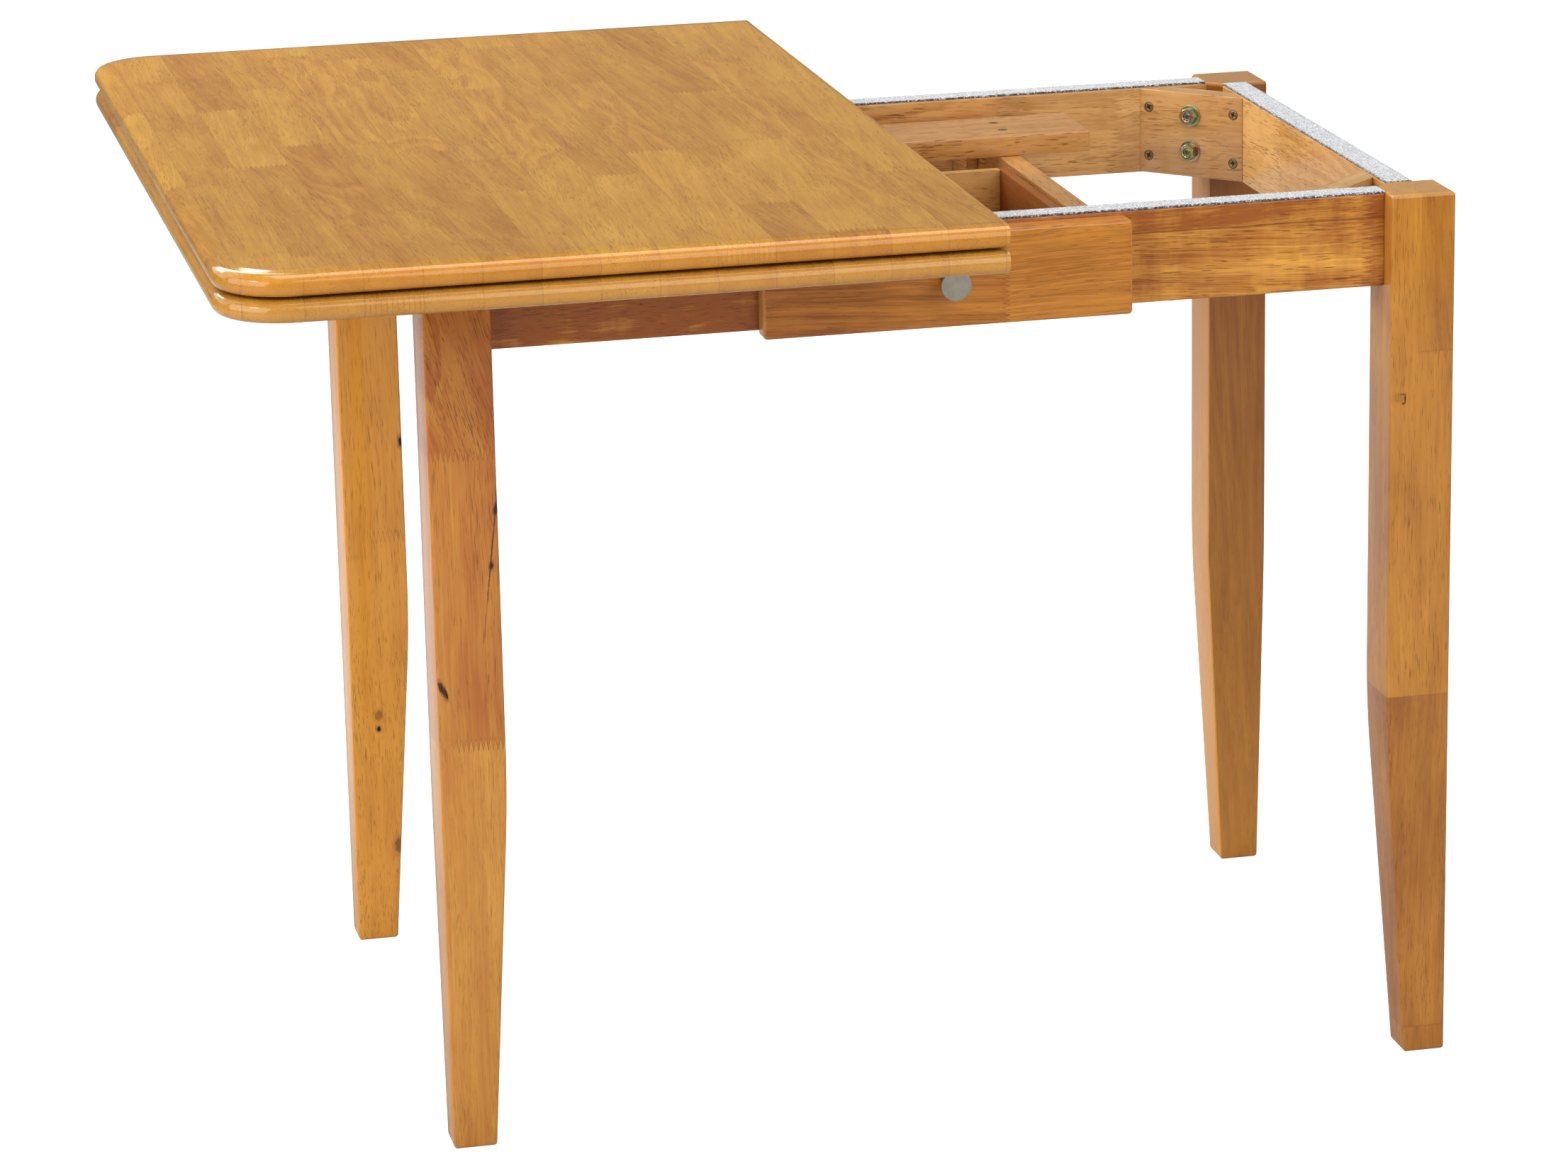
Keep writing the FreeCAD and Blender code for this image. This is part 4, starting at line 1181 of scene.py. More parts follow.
RAIL_LOOKS = {
    # Front rail: base_tone 1.2 darkens the rail and the cut at 0.0 lightens the part right of it,
    # so the left part under the leaf is painted shadow of the leaf.
    "front": dict(
        cuts=(Cut(0.0, -0.5, 0.0), Cut(0.4285, 0.34, 0.011),
              Cut(0.691, 0.27, 0.0, pores=2.4, lengthwise=True)),
        ripple_sheen=0.4, base_tone=1.2, patch=0.26, streak=0.36, warm=0.0, joint=0.6),
    "back": dict(cuts=(Cut(0.3625, 0.08), Cut(0.05, -0.1)), base_tone=0.4, ripple_sheen=0.15,
                 light=(222, 170, 106), dark=(158, 106, 56), patch=0.3),
    "left": dict(base_tone=0.5),
    "right": dict(cuts=(Cut(0.060, -0.22, 0.02),), base_tone=0.42, ripple_sheen=0.2,
                  light=(242, 190, 118), dark=(194, 134, 72))}
CORNERS = (("front_left", (-1, -1), EAST, NORTH), ("front_right", (1, -1), NORTH, WEST),
           ("back_right", (1, 1), WEST, SOUTH), ("back_left", (-1, 1), SOUTH, EAST))


@dataclass
class Legs(Assembly):
    """Four legs, square at the outer corner and tapered on both inner faces."""

    half_length: float = 407.5
    half_depth: float = 267.5
    height: float = 711.0
    section: float = 52.0
    foot: float = 34.0
    knee: float = 287.0
    blend: float = 40.0
    seat: float = 631.0
    cut: float = 12.0
    arris: float = 2.0
    foot_round: float = 3.0
    top_round: float = 2.8
    low_cut: float = 1.2
    shelf: float = 1.5
    cut_shrink: float = 0.586

    def width(self, z: Array) -> Array:
        """Width at a height.

        The taper's straight line below the knee and the full section above it, joined by a
        parabola over the blend length each side of the knee.

        Args:
            z: Height or heights.

        Returns:
            The width at each.
        """
        slope = (self.section - self.foot) / self.knee
        below = np.clip(self.knee - z, 0, None)
        bend = (self.knee + self.blend - z) ** 2 / (4 * self.blend)
        drop = np.where(np.abs(z - self.knee) < self.blend, bend, below)
        return self.section - slope * drop

    def ring(self, z: float, inset: float, cut: float) -> Array:
        """One ring: a rounded square whose inner corner is cut off.

        Args:
            z: Height.
            inset: Distance that the outline is moved in.
            cut: Length cut off the inner corner both ways.

        Returns:
            The ring's points.
        """
        wide = float(self.width(np.array(z))) - inset
        cut = max(cut - self.cut_shrink * inset, 0.6)
        corners = [[inset, inset], [wide, inset], [wide, wide - cut], [wide - cut, wide],
                   [inset, wide]]
        edge = max(self.arris - inset, 0.25)
        outline = rounded(corners, [edge, edge, 0.4, 0.4, edge], 5)
        return np.column_stack([outline, np.full(len(outline), z)])

    def shell(self, placing: Placing) -> Shell:
        """A leg, from its outer corner inwards both ways.

        Args:
            placing: Its axes.

        Returns:
            The leg's shell.
        """
        low, high, bend = self.foot_round, self.top_round, self.blend + 2.0
        knee = np.linspace(self.knee - bend, self.knee + bend, 13)
        rows = [(0, low + self.shelf, self.low_cut)]
        rows += [(low + low * sin, low + low * cos, self.low_cut) for cos, sin in arc(270, 180, 6)]
        rows += [(z, 0, self.low_cut) for z in (40, 120, 200, *knee, 420, 520, self.seat)]
        rows += [(self.seat, 0, self.cut)]
        rows += [(self.height - high + high * sin, high + high * cos, self.cut)
                 for cos, sin in arc(180, 90, 6)]
        rows += [(self.height, high + self.shelf, self.cut)]
        shell = Shell(placing)
        shell.solid(np.stack([self.ring(*row) for row in rows]))
        return shell

    def build(self) -> None:
        """Makes the four legs."""
        for name, (east, north), along, across in CORNERS:
            corner = (FRAME_X + east * self.half_length, north * self.half_depth, 0.0)
            look = dict(light=(230, 159, 62), dark=(182, 105, 42), joint=0.75) | LEG_LOOKS[name]
            wood = Timber("leg_wood_" + name, run=Run.Z_UPRIGHT, **look).make()
            self.settle(self.shell(Placing(corner, along, across)), "leg_" + name + "_post",
                        "leg_wood", wood, "leg_" + name)


@dataclass
class Rails(Assembly):
    """Four rails between the legs, with a felt strip on each."""

    inner_x: float = 367.5
    inner_y: float = 227.5
    thickness: float = 22.0
    half_front: float = 355.5
    half_side: float = 215.5
    low: float = 636.0
    high: float = 709.5
    mouth: float = 140.0
    mouth_top: float = 685.0
    corner: float = 0.9
    ease: float = 0.8
    felt: float = 2.0
    felt_shelf: float = 2.0
    felt_step: float = 1.5
    felt_edge: float = 0.3
    felt_fuzz: tuple = (0.28, 0.22)
    felt_waves: tuple = ((1.9, 2.3, 1.0), (3.1, -1.7, 0.0), (0.37, 0.0, 3.0), (0.11, 0.9, 0.0))

    def plain(self, half: float) -> Array:
        """Outline of a rail's face, across its length and up."""
        return rectangle(-half, half, self.low, self.high)

    def with_mouth(self) -> Array:
        """Outline of the front rail's face, open below for the drawer.

        Returns:
            Its corners, counter-clockwise.
        """
        half, mouth = self.half_front, self.mouth
        return np.array([[-half, self.low], [-mouth, self.low], [-mouth, self.mouth_top],
                         [mouth, self.mouth_top], [mouth, self.low], [half, self.low],
                         [half, self.high], [-half, self.high]])

    def placings(self) -> dict[str, Placing]:
        """Axes of the rails.

        Returns:
            For each rail: along its length, up, and outwards from its inner face.
        """
        x, y = self.inner_x, self.inner_y
        return {"front": Placing((FRAME_X, -y, 0), EAST, UP, SOUTH),
                "back": Placing((FRAME_X, y, 0), WEST, UP, NORTH),
                "left": Placing((FRAME_X - x, 0, 0), SOUTH, UP, WEST),
                "right": Placing((FRAME_X + x, 0, 0), NORTH, UP, EAST)}

    def strip(self, half: float, placing: Placing, seed: float) -> Shell:
        """A felt strip laid along a rail's top.

        A flat rounded section is carried along the rail; its width and its height waver by
        sums of sines of the length.

        Args:
            half: Half the length.
            placing: The rail's axes.
            seed: Phase of the waver.

        Returns:
            The strip's shell.
        """
        edge, wide, tall = self.felt_edge, self.thickness - self.felt_edge, self.felt - 0.25
        shelf, steps = self.felt_shelf, 4
        section = rounded(rectangle(edge, wide, 0.0, tall), 0.8, steps)
        section = np.insert(section, 3 * steps, [[wide - shelf, tall], [edge + shelf, tall]], 0)
        across, rise = section.T
        ragged = np.clip(1 - np.minimum(across - edge, wide - across) / shelf, 0, 1)
        along = np.linspace(-half, half, int(2 * half / self.felt_step))[:, None]
        ring = np.arange(len(section))
        fuzz = sum(np.sin(along * a + ring * b + seed * c) for a, b, c in self.felt_waves)
        fuzz = fuzz / len(self.felt_waves)
        out = np.where(across > self.thickness / 2, 1.0, -1.0)
        deep = across + out * fuzz * self.felt_fuzz[0]
        height = self.high + rise + np.abs(fuzz) * self.felt_fuzz[1] * (rise > 0.5)
        shell = Shell(placing)
        shell.solid(np.stack([np.broadcast_to(along, deep.shape), height, deep], -1), ragged)
        return shell

    def build(self) -> None:
        """Makes the rails and their felt."""
        felt = Felt("felt_grey").make()
        for name, placing in self.placings().items():
            long = name in ("front", "back")
            half = self.half_front if long else self.half_side
            outline = self.with_mouth() if name == "front" else self.plain(half)
            shell = Shell(placing)
            shell.board(outline, self.corner, eased(self.thickness, self.ease, self.ease))
            run = Run.X_UPRIGHT if long else Run.Y_UPRIGHT
            shades = dict(light=(244, 176, 76), dark=(168, 94, 36)) | RAIL_LOOKS[name]
            wood = Timber("rail_wood_" + name, run=run, seed=11.0 + len(name), pores=1.5,
                          figure=0.3, **shades).make()
            self.settle(shell, name + "_rail_board", "rail_wood", wood, "rail_" + name)
            self.settle(self.strip(half, placing, len(name)), name + "_felt_strip", "felt", felt,
                        "felt_" + name, crease=60.0)


@dataclass
class CornerBlocks(Assembly):
    """A block across each corner, bolted to the leg and screwed to the rails."""

    inner_x: float = 367.5
    inner_y: float = 227.5
    reach: float = 71.0
    thickness: float = 20.0
    low: float = 636.5
    high: float = 709.0
    bolt_height: float = 674.25
    bolt_spacing: float = 31.0
    screw_margin: float = 9.5
    screw_height: float = 672.75
    screw_spacing: float = 42.0
    washer: float = 1.6
    nut: float = 6.5
    bolt_below: float = 1.0
    bolt_depth: float = 75.0
    ease: float = 0.6

    def outline(self) -> Array:
        """Outline of a block seen from above, with its mitred ends on the rails."""
        back = self.reach - self.thickness * math.sqrt(2)
        return np.array([[back, 0], [self.reach, 0], [0, self.reach], [0, back]])

    def face(self, corner: Point, along: Point, across: Point) -> Placing:
        """Axes on the middle of a block's inner face.

        Args:
            corner: Where the block's two rails meet.
            along: Direction of one rail.
            across: Direction of the other.

        Returns:
            The axes: across the face, up, and out of it.
        """
        way = (np.array(along) + np.array(across)) / math.sqrt(2)
        middle = np.array(corner) + way * self.reach / math.sqrt(2)
        middle[2] = self.bolt_height
        return Placing(tuple(middle), tuple(np.cross(UP, way)), UP, tuple(way))

    def build(self) -> None:
        """Makes the four blocks with their bolts, washers, nuts and screws.

        Nuts and screws are turned by odd amounts, so that no two neighbours stand alike.
        """
        woods = [Timber("corner_block_wood" + end, light=(224, 178, 116), dark=(184, 132, 78),
                        run=run, pores=0.9, base_tone=0.35, streak=0.36, seed=seed).make()
                 for end, run, seed in (("", Run.SLANT, 21.0),
                                        ("_crossed", Run.COUNTER_SLANT, 23.0))]
        zinc = Metal("yellow_zinc_plate", (186, 158, 84), (158, 160, 96), 0.24, 0.30).make()
        bolts, washers, nuts, screws = parts = [Shell() for _ in range(4)]
        reach = self.reach / math.sqrt(2) - self.screw_margin
        for name, (east, north), along, across in CORNERS:
            corner = (FRAME_X + east * self.inner_x, north * self.inner_y, self.low)
            shell = Shell(Placing(corner, along, across))
            shell.board(self.outline(), self.ease,
                        eased(self.high - self.low, self.ease, self.ease), 3)
            self.settle(shell, name + "_corner_block", "inner_wood", woods[east != north],
                        "corner_block_" + name)
            for part in parts:
                part.placing = self.face(corner, along, across)
            for side in (-0.5, 0.5):
                y = side * self.bolt_spacing
                Fasteners.washer(washers, y, self.washer)
                Fasteners.nut(nuts, y, self.washer, self.nut, 10 + 25 * side + 9 * east)
                Fasteners.bolt(bolts, y, -self.bolt_depth,
                               self.washer + self.nut - self.bolt_below)
                for level in (-0.5, 0.5):
                    z = self.screw_height - self.bolt_height + level * self.screw_spacing
                    Fasteners.screw_head(screws, 2 * side * reach, z,
                                         turn=20 + 60 * level + 35 * side * north)
        for shell, name, node in ((bolts, "leg_bolts", "leg_hanger_bolts"),
                                  (washers, "leg_washers", "leg_bolt_washers"),
                                  (nuts, "leg_nuts", "leg_bolt_nuts")):
            self.settle(shell, name, "yellow_zinc", zinc, node, crease=25.0)
        gold = Metal("yellow_zinc_screw", (176, 144, 70), (146, 124, 66), 0.3, 0.1).make()
        self.settle(screws, "corner_block_screws", "yellow_zinc", gold, crease=SCREW_CREASE)


@dataclass
class InnerFrame(Assembly):
    """Cross beams, drawer runners, glue blocks and the board that carries the swivel."""

    beam_inner: float = 140.0
    beam_outer: float = 158.0
    inner_y: float = 227.5
    block_length: float = 48.0
    block_width: float = 10.0
    block_low: float = 638.0
    block_high: float = 678.0
    beam_ease: float = 1.0
    runner_ease: float = 0.8
    board_ease: float = 1.4
    screw_radius: float = 3.6
    board_screw: float = 15.5

    def glue_blocks(self) -> Shell:
        """Four blocks, two beside each beam: inside it at the back and outside it in front.

        Returns:
            One shell of all four.
        """
        glue, y = Shell(), self.inner_y
        for side in (-1, 1):
            for inner, near, far in ((self.beam_inner - self.block_width, y - self.block_length, y),
                                     (self.beam_outer, -y, self.block_length - y)):
                low, high = sorted((side * inner, side * (inner + self.block_width)))
                piece = block((FRAME_X + low, near, self.block_low),
                              (FRAME_X + high, far, self.block_high), self.runner_ease)
                glue.faces += [[i + glue.count for i in face] for face in piece.faces]
                glue.take(np.concatenate(piece.points))
        return glue

    def build(self) -> None:
        """Makes each piece of the inner frame."""
        beam = Timber("beam_wood", light=(216, 162, 94), dark=(168, 110, 54), run=Run.Y_UPRIGHT,
                      pores=1.6, seed=31.0).make()
        board = Timber("pivot_board_wood", light=(222, 166, 96), dark=(176, 116, 58),
                       pores=1.5, seed=37.0).make()
        for side in ("left", "right"):
            for part, ease in (("cross_beam", self.beam_ease),
                               ("drawer_runner", self.runner_ease)):
                node = part + "_" + side
                self.settle(slab(node, ease), side + "_" + part, "inner_wood", beam, node)
        self.settle(self.glue_blocks(), "beam_blocks", "inner_wood", beam, "beam_glue_blocks")
        self.settle(slab("pivot_board", self.board_ease), "swivel_board", "inner_wood", board,
                    "pivot_board")
        zinc = Metal("zinc_screw", (214, 188, 130), (184, 160, 104), 0.3, 0.1, (92, 58, 30)).make()
        screws = Shell(Placing((FRAME_X, PIVOT[1], PIVOT[2])))
        middle = (self.beam_inner + self.beam_outer) / 2
        for east, north, turn in ((-1, 1, 12), (-1, -1, 50), (1, 1, 33), (1, -1, 70)):
            Fasteners.screw_head(screws, east * middle, north * self.board_screw,
                                 self.screw_radius, turn)
        self.settle(screws, "swivel_board_screws", "yellow_zinc", zinc, crease=SCREW_CREASE)
        self.swivel_base()

    def swivel_base(self) -> None:
        """Makes the plate under the top's turning plate, with its four screws."""
        steel = Metal("zinc_steel", (186, 188, 190), (160, 163, 168), 0.30).make()
        self.settle(swivel_plate(0.0), "swivel_lower_plate", "zinc_plate", steel,
                    "swivel_base_plate")
        screws = Shell(Placing((PIVOT[0], PIVOT[1], PIVOT[2] + PLATE_THICKNESS)))
        for x in (-PLATE_SCREW, PLATE_SCREW):
            for y in (-PLATE_SCREW, PLATE_SCREW):
                Fasteners.screw_head(screws, x, y, self.screw_radius, x + y / 2)
        self.settle(screws, "swivel_lower_screws", "zinc_plate", steel, crease=SCREW_CREASE)


def swivel_plate(lift: float) -> Shell:
    """Square steel plate with rounded corners.

    Args:
        lift: Height of its lower face over the pivot board.

    Returns:
        The plate's shell.
    """
    shell = Shell(Placing((PIVOT[0], PIVOT[1], PIVOT[2] + lift)))
    shell.board(rectangle(-PLATE_HALF, PLATE_HALF, -PLATE_HALF, PLATE_HALF), PLATE_CORNER,
                eased(PLATE_THICKNESS, 0.4, 0.4, 3), 8)
    return shell


@dataclass
class Leaf(Assembly):
    """One half of the top: a rounded board with a shaped nose and recesses for its hinges."""

    length: float = 580.0
    half_width: float = 450.0
    thickness: float = 18.0
    corner: float = 55.0
    nose: float = 8.0
    break_in: float = 16.0
    break_drop: float = 0.8
    hinge_ease: float = 2.0
    outer_ease: float = 1.5
    hinge_places: tuple = (-350.0, 0.0, 350.0)
    recess_half: float = 6.1
    arm_recess: float = 50.1
    arm_depth: float = 2.8
    block_recess: float = 8.4
    block_depth: float = 8.1
    shelf: float = 1.5
    corner_steps: int = 26

    def levels(self) -> Array:
        """Height, nose inset, hinge-edge inset and hinge recess depth of each ring.

        Height is measured from the mating face. The nose is a flat slope from the break line
        and two quarter rounds; each hinge recess starts at a doubled height.

        Returns:
            One row for each ring, from the outer face.
        """
        deep, nose = -self.thickness, self.nose
        low = deep + self.break_drop + nose
        slope = [[deep + self.break_drop * s, self.break_in - (self.break_in - nose) * s]
                 for s in (0.0, 0.12, 0.35, 0.65)]
        outer = [[low + nose * s, nose + nose * c] for c, s in arc(270, 180, 12)]
        inner = [[-nose + nose * s, nose + nose * c] for c, s in arc(180, 90, 12)]
        rows = slope + outer + inner
        recesses = ((self.block_depth, self.block_recess), (self.arm_depth, self.arm_recess))
        for depth, _ in recesses:
            heights, insets = zip(*rows)
            rows.append([-depth, float(np.interp(-depth, heights, insets))])
            rows.sort()
        table = [[deep, self.break_in + self.shelf, self.outer_ease + self.shelf, 0.0]]
        for z, inset in rows:
            fall, rise = z - deep, -z
            hinge = (self.ease(fall, self.outer_ease) if fall < self.outer_ease
                     else self.ease(rise, self.hinge_ease))
            before = 0.0 if z <= -self.block_depth else (
                self.block_recess if z <= -self.arm_depth else self.arm_recess)
            table.append([z, inset, hinge, before])
            table += [[z, inset, hinge, recess] for depth, recess in recesses if z == -depth]
        table.append([0.0, nose + 2.0, self.hinge_ease + self.shelf, self.arm_recess])
        return np.array(table)

    @staticmethod
    def ease(depth: float, radius: float) -> float:
        """Inset of a quarter round at a depth below its face."""
        return radius - math.sqrt(max(radius ** 2 - max(radius - depth, 0.0) ** 2, 0.0))

    def ring(self, z: float, inset: float, hinge: float, recess: float) -> Array:
        """One ring: the board's outline moved in, with the recess points on the hinge edge.

        Args:
            z: Height.
            inset: Inset of the round edges.
            hinge: Inset of the hinge edge.
            recess: Depth of the hinge recesses at this height.

        Returns:
            The ring's points.
        """
        wide, long = self.half_width, self.length
        left = rounded([[-long, wide], [-long, -wide], [1.0, -wide], [1.0, wide]],
                       [self.corner, self.corner, 0.5, 0.5],
                       self.corner_steps)[:2 * self.corner_steps]
        base = np.concatenate([[[0.0, wide]], left, [[0.0, -wide]]])
        insets = np.full(len(base), inset)
        insets[-1] = hinge
        base = inward(base, insets)
        notches = []
        for y in self.hinge_places:
            mouth, step, end = (-max(depth, hinge) for depth in
                                (0.0, min(recess, self.block_recess), recess))
            notches += [[mouth, y - self.recess_half], [step, y - self.recess_half],
                        [end, y - self.recess_half], [end, y + self.recess_half],
                        [step, y + self.recess_half], [mouth, y + self.recess_half]]
        outline = np.concatenate([base, notches])
        return np.column_stack([outline, np.full(len(outline), z)])

    def shell(self, placing: Placing) -> Shell:
        """The board, all its rings one over another.

        Args:
            placing: Its axes.

        Returns:
            The board's shell.
        """
        shell = Shell(placing)
        shell.solid(np.stack([self.ring(*row) for row in self.levels()]))
        return shell


@dataclass
class Hinge:
    """A narrow brass hinge with a loose link between its two pins."""

    arm: float = 50.0
    arm_depth: float = 2.7
    block: float = 8.3
    block_depth: float = 8.0
    front: float = 0.3
    below: float = 0.2
    half_width: float = 6.0
    slot_half: float = 1.65
    slot_back: float = 5.55
    slot_depth: float = 4.95
    pin_in: float = 3.2
    pin_down: float = 2.6
    pin_ends: tuple = ((-6.0, 0.95), (-5.8, 1.25), (5.8, 1.25), (6.0, 0.95))
    link_radius: float = 2.2
    link_half: float = 1.5
    pitch: float = 7.2
    screws: tuple = (-41.0, -19.0)

    def plate(self, shell: Shell, y: float) -> None:
        """Adds a plate: its side profile carried across its width, with the link's slot.

        The slot's two profile points move to the slot's back and floor at the doubled rings.

        Args:
            shell: Shell to add to.
            y: Middle of the hinge across the leaf.
        """
        top, front, back = -self.below, -self.front, -self.slot_back
        end, steps = 6.0 - self.arm, 3
        arm_end = rounded([[-self.arm, top], [-self.arm, -self.arm_depth],
                           [end, -self.arm_depth], [end, top]],
                          [0.3, 0.3, 0.01, 0.01], steps)[:2 * steps]
        body = np.array([[-self.block, -self.arm_depth], [-self.block, -self.block_depth],
                         [front, -self.block_depth], [front, -self.slot_depth]])
        whole = np.concatenate([arm_end, body, [[front, top], [back, top]]])
        cut = np.concatenate([arm_end, body, [[back, -self.slot_depth], [back, top]]])
        rings = []
        for side, outline in ((-self.half_width, whole), (-self.slot_half, whole),
                              (-self.slot_half, cut), (self.slot_half, cut),
                              (self.slot_half, whole), (self.half_width, whole)):
            rings.append(np.column_stack([outline[:, 0], np.full(len(outline), y + side),
                                          outline[:, 1]]))
        shell.solid(np.stack(rings[::-1]))

    def pin(self, shell: Shell, y: float) -> None:
        """Adds a pin: a circle carried across the hinge, with eased ends.

        Args:
            shell: Shell to add to.
            y: Middle of the hinge across the leaf.
        """
        turn = angles(20)
        rings = [np.stack([radius * np.cos(turn) - self.pin_in, np.full(len(turn), y + side),
                           radius * np.sin(turn) - self.pin_down], -1)
                 for side, radius in self.pin_ends]
        shell.solid(np.stack(rings[::-1]))

    def link(self, shell: Shell) -> None:
        """Adds a link: a long round-ended outline of some thickness, up from the lower pin.

        Args:
            shell: Shell to add to.
        """
        r = self.link_radius
        corners = rectangle(-r, r, -r, self.pitch + r)
        shell.board(corners, r - 0.01, eased(2 * self.link_half, 0.25, 0.25, 3, 0.5), 12)


@dataclass
class Top(Assembly):
    """Both leaves with their hinges, and the steel on which they turn."""

    edge: float = FRAME_X
    lower_face: float = 730.0
    upper_face: float = 732.0
    bumper_in: float = 510.0
    bumper_y: float = 380.0
    plate_lift: float = 8.0
    spacer_lift: float = 3.1
    dowel_reach: float = 45.3
    dowel_drop: float = 14.0
    rivet_neck: float = 3.9

    def brass_screws(self, placing: Placing, hinge: Hinge) -> Shell:
        """Screws in one leaf's hinge plates.

        Args:
            placing: Axes of the leaf.
            hinge: The hinge's sizes.

        Returns:
            The screws' shell.
        """
        low = placing.carry(np.array([0.0, 0.0, -hinge.below]))
        shell = Shell(Placing(tuple(low), placing.along, placing.across, placing.up))
        for y in Leaf().hinge_places:
            for x in hinge.screws:
                Fasteners.screw_head(shell, x, y, 2.9, x + y / 9)
        return shell

    def build(self) -> None:
        """Makes the leaves, hinges, bumpers and swivel."""
        hinge = Hinge()
        brass = Metal("hinge_brass_metal", (206, 170, 92), (184, 146, 74), 0.26).make()
        woods = {name: Timber(name + "_leaf_wood", run=Run.Y_FLAT, width=0.043, length=0.30,
                              start=(0.0, 0.04, 0.0), seed=seed, pores=0.6, spread=0.42,
                              coat_rough=0.08, light=(213, 159, 58), dark=(170, 110, 28),
                              end=end, lean=0.16, figure=0.18, streak=0.28, patch=0.2,
                              warm=0.08, joint=0.5)
                 for name, seed, end in (("lower", 41.0, (222, 158, 82)),
                                         ("upper", 44.0, (226, 146, 60)))}
        places = {"lower": ("top", Placing((self.edge, 0, self.lower_face))),
                  "upper": ("folding_leaf", Placing((self.edge, 0, self.upper_face), EAST, SOUTH,
                                                    DOWN))}
        for name, (body, placing) in places.items():
            self.body = body
            self.settle(Leaf().shell(placing), name + "_leaf_board", "leaf_wood",
                        woods[name].make(), name + "_leaf")
            plates, pins = Shell(placing), Shell(placing)
            for y in Leaf().hinge_places:
                hinge.plate(plates, y)
                hinge.pin(pins, y)
            self.settle(plates, name + "_hinge_plates", "hinge_brass", brass,
                        "hinge_plates_" + name)
            self.settle(pins, name + "_hinge_pins", "hinge_brass", brass, "hinge_pins_" + name)
            self.settle(self.brass_screws(placing, hinge), name + "_hinge_screws", "hinge_brass",
                        brass, crease=SCREW_CREASE)
        self.body = "hinge_links"
        links = Shell()
        for y in Leaf().hinge_places:
            links.placing = Placing((self.edge - hinge.pin_in, y + hinge.link_half,
                                     self.lower_face - hinge.pin_down), EAST, UP, SOUTH)
            hinge.link(links)
        self.settle(links, "hinge_link_plates", "hinge_brass", brass, "hinge_links")
        self.body = "top"
        self.swivel()

    def swivel(self) -> None:
        """Makes the bumpers, the turning plate, its rivet and spacer, and the stop dowel."""
        x, y, z = PIVOT
        dots = Shell()
        for side in (-self.bumper_y, self.bumper_y):
            dots.lathe([[0, 0], [5, 0], [5, 1.1], [4.6, 1.6], [3.6, 1.78], [2, 1.8], [0, 1.8]], 28,
                       (self.edge - self.bumper_in, side, self.lower_face))
        self.settle(dots, "leaf_dots", "soft_dots", Plastic("clear_dots").make(), "leaf_bumpers")
        steel = Metal("zinc_steel_top", (186, 188, 190), (160, 163, 168), 0.30).make()
        self.settle(swivel_plate(self.plate_lift), "swivel_upper_plate", "zinc_plate", steel,
                    "swivel_top_plate")
        spacer = Shell(Placing((x, y, z + self.spacer_lift)))
        spacer.lathe([[0, 0], [19.4, 0], [20, 0.5], [20, 4.4], [19.4, 4.9], [0, 4.9]], 48)
        self.settle(spacer, "swivel_nylon_spacer", "nylon",
                    Plastic("nylon_white", (232, 230, 222)).make(), "swivel_spacer")
        low, high = cad_box("swivel_rivet")
        tall, wide, neck = high[2] - low[2], (high[0] - low[0]) / 2, self.rivet_neck
        rivet = Shell(Placing((x, y, low[2])))
        rivet.lathe([[0, 0], [wide - 0.8, 0], [wide, 0.6], [wide, 1.2], [neck, 1.3],
                     [neck, tall - 1.3], [wide, tall - 1.2], [wide, tall - 0.6],
                     [wide - 0.8, tall], [0, tall]], 36)
        self.settle(rivet, "swivel_steel_rivet", "zinc_plate", steel, "swivel_rivet")
        dowel = Shell(Placing((x - self.dowel_reach, y - self.dowel_reach, z - self.dowel_drop)))
        dowel.lathe([[0, 0], [4, 0], [5, 1], [5, 34], [4, 35], [0, 35]])
        pale = Timber("dowel_wood", run=Run.Z_UPRIGHT, light=(226, 190, 132),
                      dark=(206, 162, 104), coat=0.0, rough=0.6).make()
        self.settle(dowel, "stop_dowel", "inner_wood", pale, "turn_stop_dowel")


